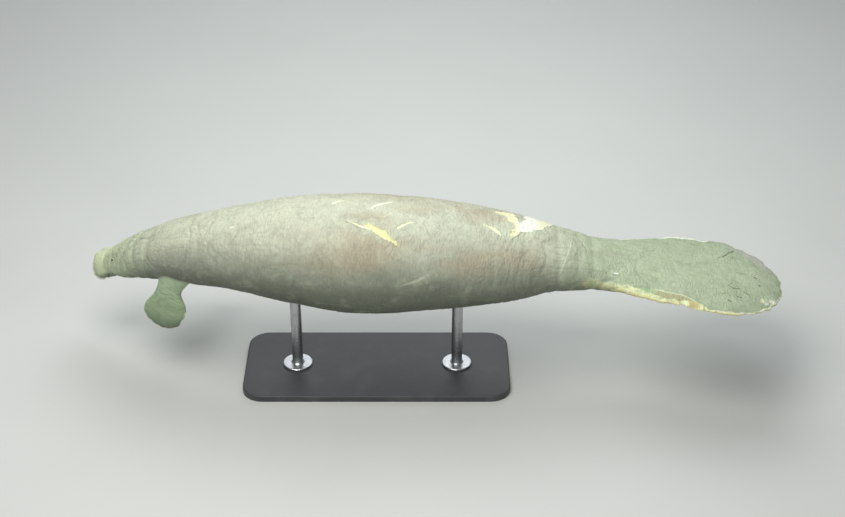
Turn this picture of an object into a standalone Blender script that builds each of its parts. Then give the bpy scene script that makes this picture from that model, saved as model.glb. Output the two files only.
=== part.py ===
# Life-size display model of a swimming manatee on a low two-rod stand.
# Metres, +Z up. The animal faces -X, so its left side is at -Y.
# The origin is the centre of the underside of the stand's base.
#
# The body is shaped as a straight animal first, in its own space (s, y, z):
# s runs from the snout to the tail's tip, y to the animal's right and z up.
# Bending it along the spine gives the pose.

import math

import bmesh
import bpy
import numpy as np
from mathutils import Matrix, Vector

# Driving dimensions
BODY_LENGTH = 3.08
SPINE_HEIGHT = 0.60
NODE_GAP = 0.0003
SLIVER = 0.00002
NOSE_DEPTH = 0.066
NOSE_BLUNTNESS = 2.5
PADDLE_END_LENGTH = 0.28
PADDLE_END_ROUNDNESS = 1.86
PADDLE_EDGE = 0.0075
PADDLE_CORE_POWER = 1.9
PADDLE_EDGE_POWER = 0.55
STAND_CENTRE_ALONG = 1.34

# Where the body is parted into nodes
HEAD_END = 0.345
NECK_END = 0.455
TORSO_END = 1.92
STOCK_END = 2.33

# How finely each part of the body is ringed: steps along it and points around
FACE_END = 0.205
SHOULDERS_END = 0.72
NOSE_RINGS = 9
PADDLE_END_RINGS = 12
FACE_STEP = 0.010
HEAD_STEP = 0.014
NECK_STEP = 0.0122
SHOULDER_STEP = 0.033
TORSO_STEP = 0.067
STOCK_STEP = 0.024
PADDLE_STEP = 0.043
FRONT_AROUND = 44
STOCK_AROUND = 36
PADDLE_AROUND = 40

# Sections of the straight body: along, half width, height above and below the
# spine, corner fullness (1 is an ellipse, less is squarer) and share of paddle
SECTIONS = (
    ("muzzle", 0.000, 0.076, 0.051, 0.053, 0.86, 0.0),
    ("lip pads", 0.040, 0.083, 0.055, 0.057, 0.86, 0.0),
    ("muzzle crease", 0.085, 0.081, 0.055, 0.058, 0.90, 0.0),
    ("eyes", 0.155, 0.097, 0.069, 0.069, 0.94, 0.0),
    ("jowls", 0.235, 0.114, 0.089, 0.086, 0.96, 0.0),
    ("nape", 0.345, 0.133, 0.110, 0.105, 1.00, 0.0),
    ("neck", 0.455, 0.158, 0.130, 0.121, 1.00, 0.0),
    ("shoulders", 0.680, 0.201, 0.160, 0.141, 1.00, 0.0),
    ("chest", 0.960, 0.264, 0.204, 0.202, 1.00, 0.0),
    ("belly", 1.270, 0.297, 0.228, 0.243, 1.00, 0.0),
    ("loins", 1.590, 0.284, 0.212, 0.217, 1.00, 0.0),
    ("hips", 1.900, 0.248, 0.173, 0.165, 1.00, 0.0),
    ("tail stock", 2.110, 0.200, 0.130, 0.095, 0.98, 0.1),
    ("peduncle", 2.300, 0.192, 0.076, 0.078, 0.96, 0.45),
    ("paddle root", 2.460, 0.252, 0.057, 0.056, 0.96, 0.85),
    ("paddle", 2.620, 0.304, 0.043, 0.043, 0.96, 1.0),
    ("widest paddle", 2.760, 0.318, 0.036, 0.036, 0.96, 1.0),
    ("paddle end", 3.080, 0.326, 0.022, 0.022, 0.96, 1.0),
)

# Pose of the spine: share of the length, rise towards the tail, turn of the
# head and tail to the animal's right, and roll that lifts the left side
SPINE = (
    (0.00, 27.0, 30.0, 0.0),
    (0.05, 24.5, 29.0, 0.0),
    (0.10, 21.5, 26.5, 0.0),
    (0.17, 15.5, 19.5, 0.0),
    (0.25, 4.7, 9.0, 0.0),
    (0.35, -1.5, 1.5, 0.0),
    (0.50, -1.5, 0.0, 0.0),
    (0.62, -4.5, 0.0, 0.5),
    (0.72, -5.2, 0.5, 1.5),
    (0.82, -5.0, 2.3, 2.5),
    (1.00, -10.0, 4.2, 3.0),
)
SPINE_SAMPLES = 1233

# Soft swellings and folds of the straight body: place (s, y, z), reach along
# each axis and rise. Each is mirrored to the other side.
BULGES = (
    ("lip pad", (0.014, 0.044, -0.028), (0.040, 0.029, 0.031), 0.014),
    ("lip corner", (0.068, 0.078, -0.034), (0.036, 0.032, 0.022), 0.011),
    ("nostril mound", (0.030, 0.024, 0.057), (0.026, 0.018, 0.032), 0.008),
    ("nostril dip", (0.018, 0.000, 0.052), (0.030, 0.011, 0.022), -0.002),
    ("lower lip", (0.080, 0.000, -0.066), (0.034, 0.046, 0.032), 0.015),
    ("philtrum", (0.002, 0.000, -0.038), (0.036, 0.010, 0.036), -0.011),
    ("cheek", (0.205, 0.104, -0.040), (0.060, 0.050, 0.048), 0.009),
    ("brow", (0.168, 0.073, 0.063), (0.036, 0.026, 0.024), 0.006),
    ("eye hollow", (0.176, 0.093, 0.038), (0.024, 0.032, 0.018), -0.005),
    ("shoulder", (0.620, 0.180, -0.045), (0.100, 0.080, 0.095), 0.012),
)
# Ring folds: along, half width, depth, and how much of it reaches the back
RING_FOLDS = (
    ("muzzle fold", 0.098, 0.016, 0.0055, 1.0),
    ("brow fold", 0.128, 0.009, 0.0026, 1.0),
    ("throat fold", 0.268, 0.014, 0.0065, 0.25),
    ("nape fold", 0.318, 0.013, 0.0060, 0.8),
    ("neck fold", 0.398, 0.016, 0.0080, 0.7),
    ("tail fold", 2.100, 0.016, 0.0036, 1.0),
    ("peduncle fold", 2.250, 0.018, 0.0045, 1.0),
)

# How deep the back must be above the spine for a fold to be at its back depth
FOLD_FADE = 0.1
# The relief may lean along the body up to here, and then stays in its ring
LEANING_RELIEF_END = 0.15
LEANING_RELIEF_FADE = 0.10

# Head openings, as places on the skin: along and angle round from the side
EYE_ALONG = 0.176
EYE_ANGLE = 24.0
EYE_RADIUS = 0.0100
EYE_SINK = 0.0064
SOCKET_GAP = 0.0005
LID_RADIUS = 0.0094
LID_THICKNESS = 0.0040
LID_OVAL = (1.15, 0.95)
LID_FLATNESS = 0.85
NOSTRIL_ALONG = 0.026
NOSTRIL_ANGLE = 66.0
NOSTRIL_RADIUS = 0.0125
NOSTRIL_WIDTH = 0.0034
NOSTRIL_SWEEP = (-10.0, 190.0)
# The mouth's line: along, and angle below the side, from the chin backwards
MOUTH_LINE = (
    (0.028, -90.0),
    (0.032, -76.0),
    (0.046, -60.0),
    (0.066, -47.0),
    (0.094, -39.0),
    (0.120, -35.0),
    (0.142, -34.0),
    (0.156, -40.0),
)
MOUTH_WIDTH = 0.0046

# Flippers: share of the length, leading and trailing half chord, half depth
FLIPPER_LENGTH = 0.395
FLIPPER_SECTIONS = (
    (0.00, 0.078, 0.082, 0.056),
    (0.14, 0.068, 0.068, 0.050),
    (0.28, 0.056, 0.056, 0.038),
    (0.42, 0.066, 0.090, 0.030),
    (0.58, 0.098, 0.090, 0.025),
    (0.75, 0.092, 0.080, 0.020),
    (1.00, 0.074, 0.076, 0.016),
)
FLIPPER_TIP_LENGTH = 0.20
FLIPPER_TIP_ROUNDNESS = 2.2
FLIPPER_EDGE = 0.0055
FLIPPER_ROOT = (0.515, 0.100, -0.035)
# Pose of each flipper: share of the length, splay away from straight down,
# swing towards the head and twist that turns the leading edge outwards
FLIPPER_POSES = {
    "left": (
        (0.00, 20.0, 46.0, 0.0),
        (0.25, 14.0, 31.5, 0.0),
        (0.45, -2.0, 30.5, 0.0),
        (0.70, -25.0, 27.5, 0.0),
        (1.00, -45.5, 15.5, 0.0),
    ),
    "right": (
        (0.00, 58.0, 30.0, 0.0),
        (0.25, 54.0, 24.0, 0.0),
        (0.45, 47.0, 10.0, 0.0),
        (0.70, 40.0, -4.0, 0.0),
        (1.00, 30.0, -14.0, 0.0),
    ),
}
FLIPPER_SAMPLES = 201
FLIPPER_AROUND = 28
FLIPPER_RINGS = 13
FLIPPER_TIP_RINGS = 9

# Nails: share of the flipper's length and side position on its outer face
NAILS = ((0.905, -0.66), (0.945, -0.34), (0.955, 0.12), (0.930, 0.56))
NAIL_LENGTH = 0.026
NAIL_WIDTH = 0.018
NAIL_RISE = 0.0030
NAIL_DEPTH = 0.0018
NAIL_AROUND = 12
NAIL_RINGS = 5
NAIL_MOST_TILT = math.radians(112.0)
NAIL_STEP = 0.01

# Nicks in the paddle's rim: along, side (-1 left) and radius
RIM_NICKS = (
    (2.620, -1.0, 0.014),
    (2.715, -1.0, 0.007),
    (2.670, 1.0, 0.008),
    (3.030, 1.0, 0.011),
    (3.055, -1.0, 0.009),
)
NICK_REACH = 0.05

# Stand
BASE_LENGTH = 1.16
BASE_WIDTH = 0.50
BASE_THICKNESS = 0.028
BASE_CORNER = 0.09
BASE_CORNER_STEPS = 6
BASE_BEVEL = 0.006
ROD_SPACING = 0.70
ROD_RADIUS = 0.024
FLANGE_RADIUS = 0.065
FLANGE_THICKNESS = 0.010
FLANGE_BEVEL = 0.003
WELD = 0.006
ROD_TOP_BELOW_SPINE = 0.15
ROD_SIDES = 32

SHARP_ANGLE = 40.0
# A direction that no tube runs along, to turn its rings from
TUBE_REFERENCE = (0.31, 0.52, 0.80)

# Colours as linear RGB, roughness and metal
SKIN = ((0.42, 0.44, 0.33, 1.0), 0.62, 0.0)
FLIPPER_SKIN = ((0.30, 0.35, 0.24, 1.0), 0.62, 0.0)
EYE = ((0.02, 0.016, 0.012, 1.0), 0.12, 0.0)
NAIL = ((0.52, 0.47, 0.36, 1.0), 0.38, 0.0)
BASE_FINISH = ((0.055, 0.058, 0.062, 1.0), 0.5, 0.0)
ROD_FINISH = ((0.55, 0.56, 0.57, 1.0), 0.3, 1.0)


def smooth_curve(x, xs, ys):
    """A smooth curve through the points (xs, ys), read at x."""
    xs, ys = np.asarray(xs, float), np.asarray(ys, float)
    slopes = np.gradient(ys, xs)
    i = np.clip(np.searchsorted(xs, x) - 1, 0, len(xs) - 2)
    step = xs[i + 1] - xs[i]
    t = (np.clip(x, xs[0], xs[-1]) - xs[i]) / step
    start = (2 * t**3 - 3 * t**2 + 1) * ys[i] + (t**3 - 2 * t**2 + t) * step * slopes[i]
    end = (3 * t**2 - 2 * t**3) * ys[i + 1] + (t**3 - t**2) * step * slopes[i + 1]
    return start + end


def column(rows, number):
    return [row[number] for row in rows]


def signed_power(value, power):
    return np.sign(value) * np.abs(value) ** power


def unit(vectors):
    vectors = np.asarray(vectors, float)
    return vectors / np.linalg.norm(vectors, axis=-1, keepdims=True)


def rounded_end(distance, length, roundness):
    """Share of the full width at a distance from a rounded end of that length."""
    left = np.clip(1.0 - distance / length, 0.0, 1.0)
    return (1.0 - left**roundness) ** (1.0 / roundness)


def spine_table():
    """Points and axes (tailwards, right, up) along the spine, before it is placed."""
    s = np.linspace(0.0, BODY_LENGTH, SPINE_SAMPLES)
    share = column(SPINE, 0)
    rise, turn, roll = (
        np.radians(smooth_curve(s / BODY_LENGTH, share, column(SPINE, k)))
        for k in (1, 2, 3)
    )
    tail = np.stack(
        [np.cos(rise) * np.cos(turn), -np.cos(rise) * np.sin(turn), np.sin(rise)], axis=1
    )
    level = unit(np.stack([-tail[:, 1], tail[:, 0], np.zeros(len(s))], axis=1))
    upright = np.cross(tail, level)
    right = level * np.cos(roll)[:, None] - upright * np.sin(roll)[:, None]
    up = np.cross(tail, right)
    steps = (tail[1:] + tail[:-1]) / 2 * (s[1] - s[0])
    points = np.vstack([np.zeros(3), np.cumsum(steps, axis=0)])
    middle = np.array([np.interp(STAND_CENTRE_ALONG, s, points[:, k]) for k in range(3)])
    return s, points - middle + [0.0, 0.0, SPINE_HEIGHT], tail, right, up


SPINE_AT = spine_table()


def spine_frame(s):
    """Centre and axes of the spine at s; past the ends it runs on straight."""
    table_s, points, *axes = SPINE_AT
    inside = np.clip(s, 0.0, BODY_LENGTH)

    def read(rows):
        return np.stack([np.interp(inside, table_s, rows[:, k]) for k in range(3)], axis=-1)

    tail, right, up = (unit(read(rows)) for rows in axes)
    centre = read(points) + tail * np.asarray(s - inside)[..., None]
    return centre, tail, right, up


def bend(straight):
    """Carries points of the straight body (s, y, z) into the pose."""
    straight = np.asarray(straight, float)
    centre, _, right, up = spine_frame(straight[..., 0])
    return centre + right * straight[..., 1:2] + up * straight[..., 2:3]


def body_section(s, angle):
    """Points (s, y, z) of the plain straight body. Angle 0 is the right side, 90 degrees the back."""
    along = column(SECTIONS, 1)
    width, above, below, fullness, paddle = (
        smooth_curve(s, along, column(SECTIONS, k)) for k in range(2, 7)
    )
    nose = rounded_end(s, NOSE_DEPTH, NOSE_BLUNTNESS)
    end = rounded_end(BODY_LENGTH - s, PADDLE_END_LENGTH, PADDLE_END_ROUNDNESS)
    width = width * nose * end
    cosine, sine = np.cos(angle), np.sin(angle)
    height = np.where(sine >= 0, above, below) * nose
    edge = np.minimum(PADDLE_EDGE, height) * np.sqrt(end)
    core = np.maximum(height - PADDLE_EDGE, 0.0) * end
    lens = core * np.abs(sine) ** PADDLE_CORE_POWER + edge * np.abs(sine) ** PADDLE_EDGE_POWER
    barrel = signed_power(sine, fullness) * height
    share = np.clip(paddle, 0.0, 1.0)
    y = signed_power(cosine, fullness) * width
    z = barrel * (1 - share) + np.sign(sine) * lens * share
    return np.stack(np.broadcast_arrays(s, y, z), axis=-1)


def relief(points):
    """How far the swellings and folds raise the straight body's skin."""
    s, y, z = points[..., 0], np.abs(points[..., 1]), points[..., 2]
    rise = np.zeros(s.shape)
    for _, place, reach, height in BULGES:
        offset = [(v - c) / r for v, c, r in zip((s, y, z), place, reach)]
        rise += height * np.exp(-sum(o * o for o in offset))
    back = np.clip(z / FOLD_FADE, -1.0, 1.0) / 2 + 0.5
    for _, along, half_width, depth, on_back in RING_FOLDS:
        share = 1.0 - (1.0 - on_back) * back
        rise -= depth * share * np.exp(-(((s - along) / half_width) ** 2))
    return rise


def outward(s, angle, step=0.0015, turn=0.004):
    """Outward normals of the plain straight body, from its own slopes."""
    low, high = np.maximum(s - step, 0.0), np.minimum(s + step, BODY_LENGTH)
    along = body_section(high, angle) - body_section(low, angle)
    around = body_section(s, angle + turn) - body_section(s, angle - turn)
    normal = np.cross(around, along)
    return normal / np.maximum(np.linalg.norm(normal, axis=-1, keepdims=True), 1e-12)


def skin_point(s, angle):
    """Points (s, y, z) of the straight body with its swellings and folds."""
    s, angle = np.broadcast_arrays(np.asarray(s, float), np.asarray(angle, float))
    plain = body_section(s, angle)
    normal = outward(s, angle)
    upright = np.clip((s - LEANING_RELIEF_END) / LEANING_RELIEF_FADE, 0.0, 1.0)
    normal[..., 0] *= 1.0 - upright
    return plain + normal * relief(plain)[..., None]


def skin_frame(s, angle, step=0.003, turn=0.012):
    """Place on the straight skin, and its outward, tailward and round-the-body axes there."""
    here = skin_point(s, angle)
    along = unit(skin_point(s + step, angle) - skin_point(s - step, angle))
    around = skin_point(s, angle + turn) - skin_point(s, angle - turn)
    out = unit(np.cross(around, along))
    return here, out, along, np.cross(out, along)


def mesh_object(name, points, faces, finish=None):
    """An object of triangles that face outwards, with its material if it has one."""
    mesh = bpy.data.meshes.new(name)
    mesh.from_pydata([tuple(map(float, point)) for point in points], [], faces)
    shape = bmesh.new()
    shape.from_mesh(mesh)
    return shape_object(name, shape, finish, mesh)


def shape_object(name, shape, finish=None, mesh=None):
    """An object made of a bmesh shape, which is then freed."""
    mesh = mesh or bpy.data.meshes.new(name)
    bmesh.ops.recalc_face_normals(shape, faces=shape.faces)
    bmesh.ops.triangulate(shape, faces=shape.faces)
    shape.to_mesh(mesh)
    shape.free()
    obj = bpy.data.objects.new(name, mesh)
    bpy.context.scene.collection.objects.link(obj)
    if finish:
        give_finish(obj, name, finish)
    return obj


def give_finish(obj, name, finish):
    colour, roughness, metal = finish
    material = bpy.data.materials.new(name)
    material.use_nodes = True
    shader = material.node_tree.nodes["Principled BSDF"]
    shader.inputs["Base Color"].default_value = colour
    shader.inputs["Roughness"].default_value = roughness
    shader.inputs["Metallic"].default_value = metal
    obj.data.materials.clear()
    obj.data.materials.append(material)


def finish_node(obj, origin):
    """Shades a finished node smooth and puts its origin at a place of its own."""
    obj.data.shade_smooth()
    obj.data.set_sharp_from_angle(angle=math.radians(SHARP_ANGLE))
    place = Vector(map(float, origin))
    obj.data.transform(Matrix.Translation(-place))
    obj.location = place


def lofted(rings, closed_start, closed_end):
    """Points and faces of a skin over rings of equal count. A closed end is one point, an open one a flat cap."""
    count = len(rings[0])
    points = np.concatenate(rings)
    faces = []
    for row in range(len(rings) - 1):
        for k in range(count):
            a, b = row * count + k, row * count + (k + 1) % count
            faces.append((a, b, b + count, a + count))
    points = list(points)
    for first, closed in ((0, closed_start), (len(rings) - 1, closed_end)):
        ring = [first * count + k for k in range(count)]
        if closed is None:
            faces.append(tuple(ring))
            continue
        points.append(closed)
        pole = len(points) - 1
        faces += [(ring[k], ring[(k + 1) % count], pole) for k in range(count)]
    return points, faces


def body_piece(name, stations, count, start_pole=False, end_pole=False):
    """One node of the body: rings of skin at the stations, bent into the pose."""
    angles = np.arange(count) * 2 * math.pi / count
    rings = [bend(skin_point(s, angles)) for s in stations]
    first = bend([0.0, 0.0, 0.0]) if start_pole else None
    last = bend([BODY_LENGTH, 0.0, 0.0]) if end_pole else None
    return mesh_object(name, *lofted(rings, first, last), SKIN)


def spread(start, end, step):
    return np.linspace(start, end, max(2, round((end - start) / step) + 1))


def boolean(obj, operation, tools):
    """Joins closed tools to obj, or cuts them from it, and keeps its largest closed surface."""
    collection = bpy.data.collections.new("tools")
    for tool in tools:
        collection.objects.link(tool)
    modifier = obj.modifiers.new("Boolean", "BOOLEAN")
    modifier.operation = operation
    modifier.solver = "EXACT"
    modifier.operand_type = "COLLECTION"
    modifier.collection = collection
    apply_modifiers(obj)
    for tool in tools:
        bpy.data.objects.remove(tool)
    bpy.data.collections.remove(collection)
    keep_largest(obj)


def apply_modifiers(obj):
    bpy.context.view_layer.update()
    graph = bpy.context.evaluated_depsgraph_get()
    mesh = bpy.data.meshes.new_from_object(obj.evaluated_get(graph))
    obj.modifiers.clear()
    old, obj.data = obj.data, mesh
    bpy.data.meshes.remove(old)


def keep_largest(obj):
    """Leaves only the largest of obj's closed surfaces, without slivers."""
    shape = bmesh.new()
    shape.from_mesh(obj.data)
    bmesh.ops.remove_doubles(shape, verts=shape.verts, dist=SLIVER)
    bmesh.ops.dissolve_degenerate(shape, edges=shape.edges, dist=SLIVER)
    left, pieces = set(shape.verts), []
    while left:
        piece, open_verts = set(), [left.pop()]
        while open_verts:
            vert = open_verts.pop()
            piece.add(vert)
            for edge in vert.link_edges:
                other = edge.other_vert(vert)
                if other in left:
                    left.remove(other)
                    open_verts.append(other)
        pieces.append(piece)
    pieces.sort(key=extent)
    loose = [vert for piece in pieces[:-1] for vert in piece]
    bmesh.ops.delete(shape, geom=loose, context="VERTS")
    bmesh.ops.triangulate(shape, faces=shape.faces)
    shape.to_mesh(obj.data)
    shape.free()


def extent(piece):
    places = np.array([vert.co for vert in piece])
    return float(np.linalg.norm(places.max(axis=0) - places.min(axis=0)))


def swollen_copy(obj):
    """A closed tool: obj's own mesh, moved out by the gap that nodes keep."""
    shape = bmesh.new()
    shape.from_mesh(obj.data)
    shape.normal_update()
    moves = [vert.normal * NODE_GAP * vert.calc_shell_factor() for vert in shape.verts]
    for vert, move in zip(shape.verts, moves):
        vert.co += move
    return shape_object(obj.name + "_tool", shape)


def tube(name, path, radii, sides=6):
    """A closed tube with pointed ends round a path."""
    path, radii = np.asarray(path, float), np.broadcast_to(radii, len(path))
    ahead = unit(np.gradient(path, axis=0))
    across = unit(np.cross(ahead, TUBE_REFERENCE))
    turn = np.arange(sides) * 2 * math.pi / sides
    rings = [
        p + r * (np.cos(turn)[:, None] * a + np.sin(turn)[:, None] * np.cross(d, a))
        for p, d, a, r in zip(path, ahead, across, radii)
    ]
    first, last = path[0] - ahead[0] * radii[0] / 2, path[-1] + ahead[-1] * radii[-1] / 2
    return mesh_object(name, *lofted(rings, first, last))


def ball(name, centre, radius, axis, finish=None, columns=14, rows=8):
    """A sphere whose pole points along the axis."""
    shape = bmesh.new()
    turn = Vector(axis).to_track_quat("Z", "Y").to_matrix().to_4x4()
    place = Matrix.Translation(Vector(centre)) @ turn
    bmesh.ops.create_uvsphere(
        shape, u_segments=columns, v_segments=rows, radius=radius, matrix=place
    )
    return shape_object(name, shape, finish)


def side_angle(degrees, side):
    """Angle round the body of a place so many degrees above its left (-1) or right (1) side."""
    return math.radians(degrees if side > 0 else 180.0 - degrees)


def eye_place(side):
    """Centre of the eyeball and its outward axis, in the pose."""
    here, out, _, _ = skin_frame(EYE_ALONG, side_angle(EYE_ANGLE, side))
    centre, ahead = bend(here - out * EYE_SINK), bend(here + out * EYE_SINK)
    return centre, unit(ahead - centre)


def lid_ring(side, count=14, sides=6):
    """The raised oval rim of the eyelids, a closed ring round the eye."""
    here, out, along, around = skin_frame(EYE_ALONG, side_angle(EYE_ANGLE, side))
    rings = []
    for turn in np.arange(count) * 2 * math.pi / count:
        spoke = along * math.cos(turn) * LID_OVAL[0] + around * math.sin(turn) * LID_OVAL[1]
        tilt = np.arange(sides)[:, None] * 2 * math.pi / sides
        reach = LID_RADIUS + LID_THICKNESS * np.cos(tilt)
        rings.append(here + spoke * reach + out * LID_THICKNESS * LID_FLATNESS * np.sin(tilt))
    faces = []
    for row in range(count):
        for k in range(sides):
            start, end = row * sides, (row + 1) % count * sides
            after = (k + 1) % sides
            faces.append((start + k, start + after, end + after, end + k))
    return mesh_object("lid_ring", bend(np.concatenate(rings)), faces)


def swelling(count, least):
    """Widths along a tool: least at both ends, whole in the middle."""
    return least + (1.0 - least) * np.sin(np.linspace(0.0, math.pi, count)) ** 0.5


def nostril_tool(side, count=9):
    """A curved cutter that leaves the closed nostril's crescent."""
    here, out, along, around = skin_frame(NOSTRIL_ALONG, side_angle(NOSTRIL_ANGLE, side))
    inwards = around * side
    turns = np.radians(np.linspace(*NOSTRIL_SWEEP, count))
    path = [
        here + NOSTRIL_RADIUS * (inwards * math.cos(turn) - along * math.sin(turn))
        for turn in turns
    ]
    return tube("nostril_tool", bend(path), NOSTRIL_WIDTH * swelling(count, 0.55))


def mouth_tool(count=15):
    """A cutter along the whole mouth, from one corner round the lips to the other."""
    share = np.linspace(0.0, 1.0, len(MOUTH_LINE))
    fine = np.linspace(0.0, 1.0, count)
    along = smooth_curve(fine, share, column(MOUTH_LINE, 0))
    angle = smooth_curve(fine, share, column(MOUTH_LINE, 1))
    right, left = (
        [skin_point(a, side_angle(b, side)) for a, b in zip(along, angle)] for side in (1, -1)
    )
    path = np.array(left[:0:-1] + right)
    return tube("mouth_tool", bend(path), MOUTH_WIDTH * swelling(len(path), 0.45))


def make_head():
    turns = np.linspace(0.0, math.pi / 2, NOSE_RINGS + 1)[1:]
    stations = np.concatenate(
        [
            NOSE_DEPTH * (1 - np.cos(turns)),
            spread(NOSE_DEPTH, FACE_END, FACE_STEP)[1:],
            spread(FACE_END, HEAD_END - NODE_GAP / 2, HEAD_STEP)[1:],
        ]
    )
    head = body_piece("head", stations, FRONT_AROUND, start_pole=True)
    boolean(head, "UNION", [lid_ring(side) for side in (-1, 1)])
    cutters = [nostril_tool(side) for side in (-1, 1)] + [mouth_tool()]
    for side in (-1, 1):
        centre, axis = eye_place(side)
        cutters.append(ball("socket_tool", centre, EYE_RADIUS + SOCKET_GAP, axis))
    boolean(head, "DIFFERENCE", cutters)
    finish_node(head, bend([HEAD_END, 0.0, 0.0]))


def make_eyes():
    for side, name in ((-1, "eye_left"), (1, "eye_right")):
        centre, axis = eye_place(side)
        finish_node(ball(name, centre, EYE_RADIUS, axis, EYE), centre)


def make_neck():
    stations = spread(HEAD_END + NODE_GAP / 2, NECK_END - NODE_GAP / 2, NECK_STEP)
    return body_piece("neck", stations, FRONT_AROUND)


def make_torso():
    stations = np.concatenate(
        [
            spread(NECK_END + NODE_GAP / 2, SHOULDERS_END, SHOULDER_STEP)[:-1],
            spread(SHOULDERS_END, TORSO_END - NODE_GAP / 2, TORSO_STEP),
        ]
    )
    return body_piece("torso", stations, FRONT_AROUND)


def make_tail_stock():
    stations = spread(TORSO_END + NODE_GAP / 2, STOCK_END - NODE_GAP / 2, STOCK_STEP)
    stock = body_piece("tail_stock", stations, STOCK_AROUND)
    finish_node(stock, bend([TORSO_END, 0.0, 0.0]))


def rim_nick_tools():
    """Upright cutters at the nicks of the paddle's rim."""
    tools = []
    for along, side, radius in RIM_NICKS:
        rim = skin_point(along, side_angle(0.0, side))
        path = [bend(rim + [0.0, 0.0, lift * NICK_REACH]) for lift in (-1, 0, 1)]
        tools.append(tube("nick_tool", path, radius, sides=10))
    return tools


def make_tail_paddle():
    turns = np.linspace(0.0, math.pi / 2, PADDLE_END_RINGS + 1)[:-1]
    end = BODY_LENGTH - PADDLE_END_LENGTH * (1 - np.sin(turns))
    stations = np.concatenate([spread(STOCK_END + NODE_GAP / 2, end[0], PADDLE_STEP)[:-1], end])
    paddle = body_piece("tail_paddle", stations, PADDLE_AROUND, end_pole=True)
    boolean(paddle, "DIFFERENCE", rim_nick_tools())
    finish_node(paddle, bend([STOCK_END, 0.0, 0.0]))


def flipper_table(word, side):
    """Points and axes (to the tip, forward, outward) along a flipper, in the pose."""
    share = np.linspace(0.0, 1.0, FLIPPER_SAMPLES)
    rows = FLIPPER_POSES[word]
    splay, swing, twist = (
        np.radians(smooth_curve(share, column(rows, 0), column(rows, k)))[:, None]
        for k in (1, 2, 3)
    )
    s, y, z = FLIPPER_ROOT
    _, tail, right, up = spine_frame(s)
    down = -up * np.cos(splay) + right * side * np.sin(splay)
    tip = down * np.cos(swing) - tail * np.sin(swing)
    ahead = unit(-tail - tip * (tip @ -tail)[:, None])
    face = np.cross(ahead, tip) * -side
    forward = ahead * np.cos(twist) + face * np.sin(twist)
    outer = face * np.cos(twist) - ahead * np.sin(twist)
    steps = (tip[1:] + tip[:-1]) / 2 * FLIPPER_LENGTH / (FLIPPER_SAMPLES - 1)
    points = bend([s, y * side, z]) + np.vstack([np.zeros(3), np.cumsum(steps, axis=0)])
    return share, points, tip, forward, outer


FLIPPER_AT = {-1: flipper_table("left", -1), 1: flipper_table("right", 1)}


def flipper_frame(t, side):
    """Centre of a flipper at a share of its length, and its forward and outward axes there."""
    share, points, _, forward, outer = FLIPPER_AT[side]

    def read(rows):
        return np.stack([np.interp(t, share, rows[:, k]) for k in range(3)], axis=-1)

    return read(points), unit(read(forward)), unit(read(outer))


def flipper_point(t, angle, side):
    """Points of a flipper's skin. Angle 0 is its leading edge and 90 degrees its outer face."""
    t, angle = np.broadcast_arrays(np.asarray(t, float), np.asarray(angle, float))
    centre, forward, face = flipper_frame(t, side)
    share = column(FLIPPER_SECTIONS, 0)
    lead, trail, depth = (
        smooth_curve(t, share, column(FLIPPER_SECTIONS, k)) for k in (1, 2, 3)
    )
    end = rounded_end((1.0 - t) * FLIPPER_LENGTH, FLIPPER_TIP_LENGTH, FLIPPER_TIP_ROUNDNESS)
    cosine, sine = np.cos(angle), np.sin(angle)
    chord = np.where(cosine >= 0, lead, trail) * cosine * end
    flat = np.clip((t - 0.1) / 0.4, 0.0, 1.0)
    core = (depth - FLIPPER_EDGE) * np.abs(sine) ** (1.0 + 0.35 * flat) * end
    rim = FLIPPER_EDGE * np.abs(sine) ** 0.6 * np.sqrt(end)
    lift = np.sign(sine) * (core + rim)
    return centre + forward * chord[..., None] + face * lift[..., None]


def make_flipper(name, side, carriers):
    """A flipper cut to fit the body that it grows from."""
    turns = np.linspace(0.0, math.pi / 2, FLIPPER_TIP_RINGS + 1)[:-1]
    start = 1.0 - FLIPPER_TIP_LENGTH / FLIPPER_LENGTH
    shares = np.concatenate(
        [np.linspace(0.0, start, FLIPPER_RINGS)[:-1], 1.0 - (1.0 - start) * (1 - np.sin(turns))]
    )
    angles = np.arange(FLIPPER_AROUND) * 2 * math.pi / FLIPPER_AROUND
    rings = [flipper_point(share, angles, side) for share in shares]
    tip = flipper_point(1.0, 0.0, side)
    flipper = mesh_object(name, *lofted(rings, None, tip), FLIPPER_SKIN)
    boolean(flipper, "DIFFERENCE", [swollen_copy(carrier) for carrier in carriers])
    return flipper


def make_nail(name, share, across, side, flipper):
    """A low oval plate on the outer face of the flipper's end."""
    angle = math.acos(across)
    here = flipper_point(share, angle, side)
    ahead = flipper_point(share + NAIL_STEP, angle, side) - here
    sideways = flipper_point(share, angle - NAIL_STEP, side) - here
    out = unit(np.cross(ahead, sideways)) * side
    ahead = unit(ahead)
    sideways = np.cross(out, ahead)
    rings = []
    for tilt in NAIL_MOST_TILT * np.arange(NAIL_RINGS, 0, -1) / NAIL_RINGS:
        turns = np.arange(NAIL_AROUND)[:, None] * 2 * math.pi / NAIL_AROUND
        oval = ahead * np.cos(turns) * NAIL_LENGTH + sideways * np.sin(turns) * NAIL_WIDTH
        lift = NAIL_RISE - (NAIL_RISE + NAIL_DEPTH) * (1.0 - math.cos(tilt))
        rings.append(here + oval * math.sin(tilt) / 2 + out * lift)
    nail = mesh_object(name, *lofted(rings, None, here + out * NAIL_RISE), NAIL)
    boolean(nail, "DIFFERENCE", [swollen_copy(flipper)])
    finish_node(nail, here)


def make_flippers(carriers):
    for side, word in ((-1, "left"), (1, "right")):
        flipper = make_flipper(f"flipper_{word}", side, carriers)
        for number, (share, across) in enumerate(NAILS, 1):
            make_nail(f"nail_{word}_{number}", share, across, side, flipper)
        s, y, z = FLIPPER_ROOT
        finish_node(flipper, bend([s, y * side, z]))


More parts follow.
